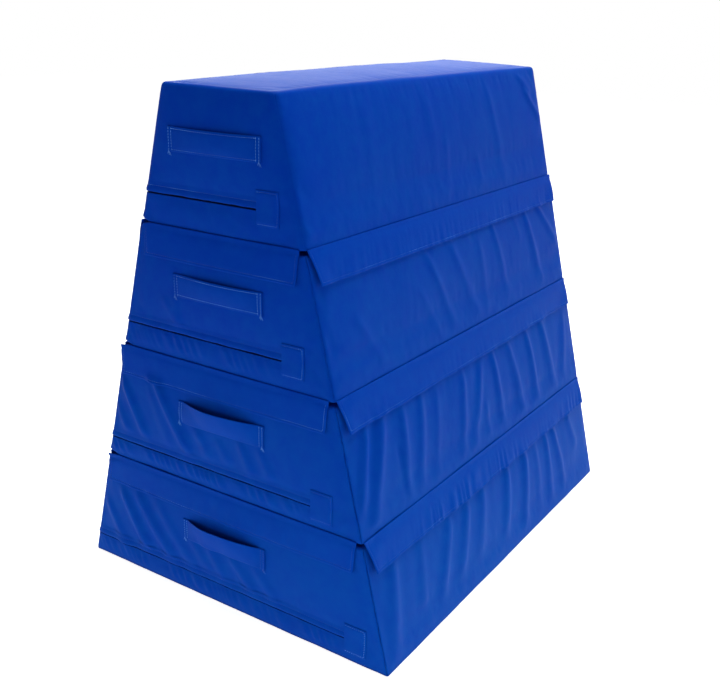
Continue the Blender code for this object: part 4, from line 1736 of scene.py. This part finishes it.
@dataclass
class Strap:
    """A carrying strap: folded vinyl, sewn down at both ends, its middle bowed off the face."""

    section: Section
    face: Face
    length: float = 0.250
    width: float = 0.052
    thick: float = 0.0025
    sewn: float = 0.015
    lower_share: float = 0.16
    end_seams: Pair = (0.004, 0.012)
    edge_seam: float = 0.0045
    groove: float = 0.0005
    groove_half: float = 0.0012
    fold: float = 0.00045
    fold_half: float = 0.0010
    rim: float = 0.0007
    rim_width: float = 0.0015
    off_cover: float = 0.0005
    stiff: float = 0.01

    def build(self, finishes: Finishes) -> None:
        """Builds the strap with its stitching.

        Args:
            finishes: The finishes of the object.
        """
        section, half, wide = self.section, self.length / 2, self.width / 2
        free = half - self.sewn
        ends = [half - value for value in (0.0, 0.0010, 0.0025, 0.004, 0.0055, 0.009, 0.012, 0.0135)]
        stations = [-value for value in ends] + spread(-free, free, 44) + ends[::-1]
        shares = [1.0, 0.965, 0.90, 0.84, 0.78, 0.5, 0.2]
        rises = [-share * wide for share in shares] + [share * wide for share in shares[::-1]]
        profile = two_sided(rises)
        seed = section.order * 5.3 + (2.1 if self.face is Face.BACK else 0.0)

        def place(along: float, point: tuple[float, int]) -> Vector:
            """Where a profile point lies, bowed out between the sewn ends.

            Args:
                along: Distance from the strap's middle.
                point: Rise from its middle line, and the side.

            Returns:
                The place.
            """
            rise, is_outer = point
            ratio = min(1.0, abs(along) / free)
            arch = (1 - ratio**2.4) * (1 - 0.12 * math.sin(3.0 * along / free + seed))
            height = (rise + wide) / self.width
            tilt = self.lower_share + (1 - self.lower_share) * height
            belly = 0.0016 * arch * math.sin(math.pi * height) + 0.0008 * wobble(along * 22, rise * 14, seed)
            rise_up = section.strap_bow * arch * section.strap_arch * height
            to_end = half - abs(along)
            groove = sum(stitch_groove(to_end - seam, self.groove, self.groove_half) for seam in self.end_seams)
            rim = edge_rim(wide - abs(rise), self.rim, self.rim_width)
            edge_fold = stitch_groove(wide - abs(rise) - self.edge_seam, self.fold, self.fold_half)
            edge_fold *= section.has_sewn_straps
            lift = float(smooth((to_end - 0.010) / 0.006))
            out = self.off_cover + section.strap_bow * 0.92 * arch * tilt + (belly if belly > 0 else 0.0) * lift
            if is_outer:
                out += self.thick - groove - rim - edge_fold
            else:
                out += rim * 0.5
            return section.on_face(self.face, along, section.strap_rise + rise + rise_up, out, self.stiff)

        name = f"{section.name}_{self.face.key}_strap"
        strap = new_piece(name, lofted(stations, profile, place), finishes.strap, 60.0)
        row = StitchRow(f"{name}_thread", 0.0011)
        out_way, edge = self.face.out_way, wide - self.edge_seam
        for rise in (-edge, edge) if section.has_sewn_straps else ():
            row.line([place(along, (rise, 1)) for along in spread(0.013 - half, half - 0.013, 50)], out_way)
        for side in (-1, 1):
            for seam in self.end_seams:
                seam_rises = spread(-wide * 0.94, wide * 0.94, 12)
                row.line([place(side * (half - seam), (rise, 1)) for rise in seam_rises], out_way)
            corner = place(side * (half - self.end_seams[0]), (-wide * 0.9, 1))
            for index, slant in enumerate((-0.45, 0.1, 0.55)):
                way = Vector((self.face.along.x * slant, self.face.along.y * slant, -1.0))
                row.one(corner + way.normalized() * (0.004 + 0.002 * index), way, out_way, 0.010)
        thread = row.finish(finishes.thread)
        node, flat = f"{self.face.key}_handle", (self.width, self.length)
        declare_sheet(strap, section, node, flat, section, thread, section.body)


@dataclass
class LoopStrip:
    """Napped loop tape sewn near a block's crest, under the flap of the block above."""

    section: Section
    face: Face
    thick: float = 0.0012
    low: float = 0.064
    high: float = 0.016
    pitch: float = 0.012
    inside_flap: float = 0.012
    seam: float = 0.0022
    tuft: float = 0.00012
    off_cover: float = 0.0003

    def build(self, finishes: Finishes) -> None:
        """Builds the strip with its stitching.

        Args:
            finishes: The finishes of the object.
        """
        section, face = self.section, self.face
        reach = min(flap_reaches(SECTIONS[section.order + 1], face)) - self.inside_flap
        ends = [reach, reach - 0.001, reach - 0.003]
        stations = sorted(set(filled([-reach, reach], self.pitch) + ends + [-value for value in ends]))
        shares = (0.0, 0.03, 0.08, 0.35, 0.65, 0.92, 0.97, 1.0)
        rises = [SECTION_HEIGHT - self.low + (self.low - self.high) * share for share in shares]
        profile = two_sided(rises)

        def place(across: float, point: tuple[float, int]) -> Vector:
            """Where a profile point lies, with a woven edge that is thinner than the napped middle.

            Args:
                across: Distance from the face's middle.
                point: Rise above the block's foot, and the side.

            Returns:
                The place.
            """
            up, is_outer = point
            to_edge = min(up - rises[0], rises[-1] - up, reach - abs(across))
            nap = self.thick * (0.55 + 0.45 * clamp(to_edge / 0.003, 0.0, 1.0))
            tuft = self.tuft * wobble(across * 160, up * 160, section.order + face.value)
            return section.on_face(face, across, up, self.off_cover + (nap + tuft if is_outer else 0.0))

        name = f"{section.name}_{face.key}_loop_tape"
        strip = new_piece(name, lofted(stations, profile, place), finishes.loop, 60.0)
        row = StitchRow(f"{name}_thread")
        for up in (rises[0] + self.seam, rises[-1] - self.seam):
            row.line([place(across, (up, 1)) for across in stations[2:-2]], face.out_way)
        thread = row.finish(finishes.thread)
        node, flat = f"{face.key}_loop_strip", (self.low - self.high, 2 * reach)
        declare_sheet(strip, section, node, flat, section, thread, section.body)


def flap_reaches(section: Section, face: Face) -> Pair:
    """How far a block's flap reaches each way from the face's middle: at the hinge line, and at the free edge."""
    half, short = (section.foot_half, END_FLAP_SHORT) if face.is_end else (section.half_length, SIDE_FLAP_SHORT)
    return half - short[0], half - short[1]


@dataclass
class Flap:
    """A flap: a rolled seam along the foot of its block, and a leaf that hangs over the block below."""

    section: Section
    below: Section
    face: Face
    drop: float = FLAP_DROP
    lift: float = 0.0019
    thick: float = 0.0022
    roll_radius: float = 0.0021
    roll_out: float = 0.0011
    roll_down: float = 0.0006
    roll_turn: float = math.radians(205)
    roll_swell: float = 0.06
    roll_tuck: float = 0.0006
    first_drop: float = 0.0075
    shoulder: float = 0.0014
    seam: float = 0.0062
    flare: float = 0.0008
    end_flare: float = 0.0008
    side_end_flare: float = 0.0052
    sag: float = 0.0042
    groove: float = 0.0006
    groove_half: float = 0.0013
    rim: float = 0.0009
    rim_width: float = 0.0018
    pucker_pitch: float = 0.027
    calm_end: float = 0.055
    backing_short: float = 0.018
    stiff: float = 0.012
    pitch: float = 0.0065

    def ripple(self, across: float, way: float) -> float:
        """The small puckers that the seam draws into the leaf.

        Args:
            across: Distance from the face's middle.
            way: Distance down the leaf.

        Returns:
            How far the leaf stands off its smooth form there.
        """
        strength = self.section.end_ripple if self.face.is_end else self.section.side_ripple
        run = across + 0.25 * way
        seed = self.section.order * 7.7 + self.face.value * 3.1
        phase = run / self.pucker_pitch + 1.8 * wobble(run * 9, seed) + 1.1 * wobble(run * 21, seed + 2)
        share = clamp(0.66 + 1.3 * wobble(run * 8, seed + 6), 0.10, 1.0)
        starts = 0.019 + 0.016 * wobble(run * 11, seed + 4)
        rows = (0.5 + 0.5 * math.sin(2 * math.pi * phase)) * share * float(smooth((way - starts) / 0.022))
        slack = 0.35 * (1 + wobble(run * 4, way * 6, seed + 9)) * float(smooth((way - 0.006) / 0.03))
        return strength * MM * (rows + slack)

    def left_shift(self, station: float) -> float:
        """How far a point of the flap is moved along the face: the front flap reaches past the left corner."""
        over = self.section.flap_overreach if self.face is Face.FRONT else 0.0
        return -over * float(smooth((-station - 0.2) / 0.8))

    def end_sag(self, station: float) -> float:
        """How far the seam of an end's flap sinks at its left end, where the block's foot is rounded off."""
        return self.sag * float(smooth((-station - 0.90) / 0.10)) if self.face is Face.FRONT else 0.0

    def tuck(self, station: float) -> float:
        """How closely the rolled seam is drawn up to its block: closely along the sides and right of the zip."""
        return float(smooth((station - 0.25) / 0.65)) if self.face.is_end else 1.0

    def build(self, finishes: Finishes) -> None:
        """Builds the flap with its stitching.

        Args:
            finishes: The finishes of the object.
        """
        section, below, face = self.section, self.below, self.face
        top_reach, edge_reach = flap_reaches(section, face)
        end_flare = self.end_flare if face.is_end else self.side_end_flare
        fine = [0.0, 0.0008, 0.0020, 0.0045, self.seam, 0.0080, 0.012]
        shares = [1 - value / top_reach for value in fine]
        between = filled([-shares[-1], shares[-1]], self.pitch / top_reach)
        stations = sorted({*shares, *(-share for share in shares), *between})
        drops = [0.0, 0.0007, 0.0018, 0.0045, self.seam, 0.0080, 0.014, 0.024, 0.036, 0.047, 0.054]
        drops = [self.drop - value for value in drops] + [self.first_drop + 0.005, self.first_drop]
        profile = [("outer", drop) for drop in drops]
        profile += [("roll", angle) for angle in spread(0.0, self.roll_turn, 9)]
        profile += [("inner", drop) for drop in reversed(drops)]

        def place(station: float, point: tuple[str, float]) -> Vector:
            """Where a profile point lies: round the rolled seam, or on the leaf over the block below.

            Args:
                station: Place along the flap, from -1 to 1.
                point: The part of the profile, and the turn round the roll or the distance down the leaf.

            Returns:
                The place.
            """
            part, way = point
            if part == "roll":
                swell = 1 + self.roll_swell * wobble(station * top_reach * 14, section.order * 3 + face.value)
                radius = self.roll_radius * swell
                tuck = self.roll_tuck * self.tuck(station)
                out = section.half_depth(face, 0.0) + self.roll_out - tuck + radius * math.cos(way)
                plan = face.outward * out + face.along * (top_reach * station + self.left_shift(station))
                down = self.roll_down - tuck + self.end_sag(station)
                return Vector((plan.x, plan.y, section.floor - down + radius * math.sin(way)))
            reach = top_reach + (edge_reach - top_reach) * way / self.drop
            across = reach * station
            to_edge = min(self.drop - way, reach - abs(across))
            shift = self.left_shift(station)
            calm = float(smooth((reach - abs(across)) / self.calm_end))
            flare = self.flare * (way / self.drop) ** 2 + end_flare * (1 - calm) * (0.3 + 0.7 * way / self.drop)
            bulge = self.shoulder * float(smooth(way / 0.020) * (1 - 0.8 * smooth((way - 0.020) / 0.045)))
            bulge *= 0.2 + 0.8 * calm
            out = self.lift + flare + bulge + self.ripple(across, way)
            if part == "outer":
                groove = stitch_groove(to_edge - self.seam, self.groove, self.groove_half)
                out += self.thick - groove - edge_rim(to_edge, self.rim, self.rim_width)
            backing = below.foot_half - TAPER * SECTION_HEIGHT if face.is_end else below.half_length
            backing -= self.backing_short
            backed = clamp(across + shift, -backing, backing)
            spot = below.on_face(face, backed, SECTION_HEIGHT - way, out, self.stiff)
            spot.z -= self.end_sag(station) * (1 - way / self.drop)
            return spot + Vector((*face.along, 0.0)) * (across + shift - backed)

        name = f"{section.name}_{face.key}_skirt"
        flap = new_piece(name, lofted(stations, profile, place), finishes.flap, 60.0)
        row = StitchRow(f"{name}_thread", 0.0009 if face.is_end else 0.0006)
        level = self.drop - self.seam
        side = 1 - self.seam / top_reach
        runs = [[(share, level) for share in filled([-side, side], self.pitch / top_reach)]]
        runs += [[(end, drop) for drop in spread(self.first_drop + 0.001, level, 8)] for end in (-side, side)]
        for run in runs:
            row.line([place(share, ("outer", drop)) for share, drop in run], face.out_way)
        thread = row.finish(finishes.sunk_shade_thread)
        node, flat = f"{face.key}_flap", (self.drop + self.roll_radius * self.roll_turn, 2 * top_reach)
        body = f"{section.name}_{node}"
        declare_sheet(flap, section, node, flat, below, thread, body)


@dataclass
class ZipChain:
    """Woven tape and closed coil in the cover's slit; the tape's near-black is partly painted shade of the slit."""

    section: Section
    coil_half: float = 0.003
    coil_height: float = 0.0017
    tape_above: float = 0.0046
    tape_below: float = 0.0064
    depth: float = 0.0026
    tape_thick: float = 0.0008
    tooth: float = 0.0022
    tooth_groove: float = 0.0005
    tooth_waist: float = 0.86
    crest_dip: float = 0.0003
    end_gap: float = 0.0004
    stops: float = 0.0604

    def build(self, finishes: Finishes) -> None:
        """Builds the chain.

        Args:
            finishes: The finishes of the object.
        """
        section = self.section
        right, back = section.zip_right - self.end_gap, section.half_length - self.stops
        stations = list(enumerate(section.zip_line(right, back, self.tooth)))
        face, crest = -self.depth, self.coil_height - self.depth
        profile = [
            (-self.tape_below, face - self.tape_thick, 0),
            (self.tape_above, face - self.tape_thick, 0),
            (self.tape_above, face, 0),
            (self.coil_half, face, 0),
            (self.coil_half * 0.95, (face + crest) / 2, 1),
            (self.coil_half * 0.55, crest, 1),
            (0.0, crest - self.crest_dip, 1),
            (-self.coil_half * 0.55, crest, 1),
            (-self.coil_half * 0.95, (face + crest) / 2, 1),
            (-self.coil_half, face, 0),
            (-self.tape_below, face, 0),
        ]

        def place(station: tuple[int, Pair], point: tuple[float, float, int]) -> Vector:
            """Where a profile point lies, with every other station between two teeth.

            Args:
                station: Its number, and its point of the zip line in plan.
                point: Rise above the zip line, distance off the plain cover, and 1 on the coil.

            Returns:
                The place.
            """
            index, (x, y) = station
            rise, out, is_tooth = point
            if is_tooth and index % 2:
                out -= self.tooth_groove
                rise *= self.tooth_waist
            up = section.zip_rise + rise
            return section.plain_skin(section.zip_outline(x, up), y, up, out)

        chain = new_piece(f"{section.name}_zip", lofted(stations, profile, place), finishes.zip_tape, 40.0)
        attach(chain, section.body)
        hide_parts(f"{section.name}_zip_chain")
        points = [place(station, (0.0, face, 0)) for station in stations]
        flat = (self.tape_above + self.tape_below + 2 * self.coil_height, run_length(points))


# Studio


@dataclass(frozen=True)
class Softbox:
    """A soft studio lamp that faces a point."""

    name: str
    place: Triple
    aim: Triple
    size: Pair
    power: float
    colour: Colour = WHITE
    glossy: bool = True

    def build(self) -> None:
        """Makes the lamp."""
        light = bpy.data.lights.new(self.name, "AREA")
        light.shape = "RECTANGLE"
        light.size, light.size_y = self.size
        light.energy = self.power
        light.color = self.colour
        lamp = placed(self.name, light)
        lamp.location = self.place
        lamp.rotation_euler = (Vector(self.aim) - Vector(self.place)).to_track_quat("-Z", "Y").to_euler()
        lamp.visible_camera = False
        lamp.visible_glossy = self.glossy


@dataclass
class Studio:
    """The camera at the photograph's place, a plain pale floor and soft light."""

    azimuth: float = math.radians(33.049)
    elevation: float = math.radians(19.655)
    roll: float = math.radians(1.419)
    focal_pixels: float = 960.21
    frame_width: int = 720
    place: Triple = (1.3316, -2.0978, 1.3753)
    floor_half: float = 14.0
    floor_level: float = -0.0005
    floor_grey: float = 0.80
    floor_glow: float = 0.86
    fill: float = 0.20
    backdrop: float = 0.80
    lamps: tuple[Softbox, ...] = (
        Softbox("side_softbox", (4.6, 10.0, 1.5), (0.2, 0.0, 0.5), (3.4, 2.6), 880.0, (1.0, 1.03, 0.74), False),
        Softbox("front_softbox", (2.7, -3.6, 0.65), (0.2, -0.2, 0.5), (2.4, 1.1), 40.0, WHITE, False),
        Softbox("end_softbox", (-4.4, -2.9, 0.5), (0.0, -0.6, 0.4), (1.6, 0.9), 22.0, (0.95, 0.97, 1.0), False),
        Softbox("floor_reflector", (0.0, 0.0, 0.002), (0.0, 0.0, 1.0), (4.0, 4.2), 42.0, (1.0, 0.97, 0.92), False),
        Softbox("overhead_softbox", (0.0, 0.4, 4.2), (0.0, 0.0, 0.6), (2.4, 2.4), 176.0, (1.0, 1.08, 0.80)),
        Softbox("back_softbox", (-2.6, 3.6, 2.2), (0.0, 0.3, 0.7), (3.0, 2.4), 74.0, (0.92, 1.0, 0.94)),
    )

    def build(self) -> None:
        """Sets up the camera, the floor, the lamps and the world."""
        self.camera()
        self.floor()
        for lamp in self.lamps:
            lamp.build()
        self.world()
        bpy.context.scene.view_settings.view_transform = "Standard"

    def camera(self) -> None:
        """Places the camera, with its lens from the focal length in pixels."""
        across = Vector((math.cos(self.azimuth), math.sin(self.azimuth), 0.0))
        level = math.cos(self.elevation)
        back = Vector((math.sin(self.azimuth) * level, -math.cos(self.azimuth) * level, math.sin(self.elevation)))
        up = back.cross(across)
        turn, tip = math.cos(self.roll), math.sin(self.roll)
        axes = Matrix((across * turn + up * tip, up * turn - across * tip, back)).transposed()
        data = bpy.data.cameras.new("camera")
        data.sensor_width = 36.0
        data.lens = self.focal_pixels / self.frame_width * data.sensor_width
        camera = placed("camera", data)
        camera.matrix_world = Matrix.Translation(Vector(self.place)) @ axes.to_4x4()
        bpy.context.scene.camera = camera

    def floor(self) -> None:
        """Lays the floor: pale, and white to the camera and in reflections, with a soft shadow."""
        bm = bmesh.new()
        bmesh.ops.create_grid(bm, x_segments=1, y_segments=1, size=self.floor_half)
        floor = placed("floor", mesh_of("floor", bm))
        floor.location.z = self.floor_level
        material, graph = node_material("pale_floor")
        seen = self.seen(graph)
        paint = graph.add("ShaderNodeBsdfDiffuse", None, {"Color": rgba((self.floor_grey,) * 3)})
        inputs = {"Color": rgba(WHITE), "Strength": seen * self.floor_glow}
        glow = graph.add("ShaderNodeEmission", None, inputs)
        graph.surface(graph.add("ShaderNodeAddShader", None, {0: paint, 1: glow}))
        floor.data.materials.append(material)

    def seen(self, graph: Graph) -> Value:
        """Marks what the camera sees, also in a reflection or through something clear.

        Args:
            graph: The tree that the mark is for.

        Returns:
            1 for what is seen, and 0 for other light.
        """
        node = graph.add("ShaderNodeLightPath", output="Is Camera Ray")
        outputs = node.socket.node.outputs
        for name in ("Is Glossy Ray", "Is Transmission Ray"):
            node = node.math("MAXIMUM", Value(graph, outputs[name]))
        return node

    def world(self) -> None:
        """A white backdrop to the camera and in reflections, and an even pale fill for the rest."""
        world = bpy.data.worlds.new("studio")
        bpy.context.scene.world = world
        world.use_nodes = True
        graph = Graph(world.node_tree)
        inputs = {"Color": rgba(WHITE), "Strength": self.fill + self.seen(graph) * self.backdrop}
        graph.surface(graph.add("ShaderNodeBackground", None, inputs))


# The whole mat


def dress(section: Section, finishes: Finishes) -> None:
    """Builds a block with what is sewn to it.

    Args:
        section: The block.
        finishes: The finishes of the object.
    """
    for kind in (Cover, FoamCore, ZipChain, Hem, Garage):
        kind(section).build(finishes)
    for face in (Face.FRONT, Face.BACK):
        Strap(section, face).build(finishes)
    for node in (f"{section.name}_zip_slider", f"{section.name}_zip_pull"):
        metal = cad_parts[node]
        metal.data.materials.clear()
        metal.data.materials.append(finishes.metal)


def main() -> None:
    """Builds the studio and the mat from the floor up."""
    logging.basicConfig(level=logging.INFO, format="%(name)s: %(message)s")
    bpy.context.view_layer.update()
    Studio().build()
    finishes = Finishes()
    for section in SECTIONS:
        dress(section, finishes)
    for below, section in zip(SECTIONS, SECTIONS[1:]):
        for face in Face:
            LoopStrip(below, face).build(finishes)
            Flap(section, below, face).build(finishes)


if __name__ == "__main__":
    main()
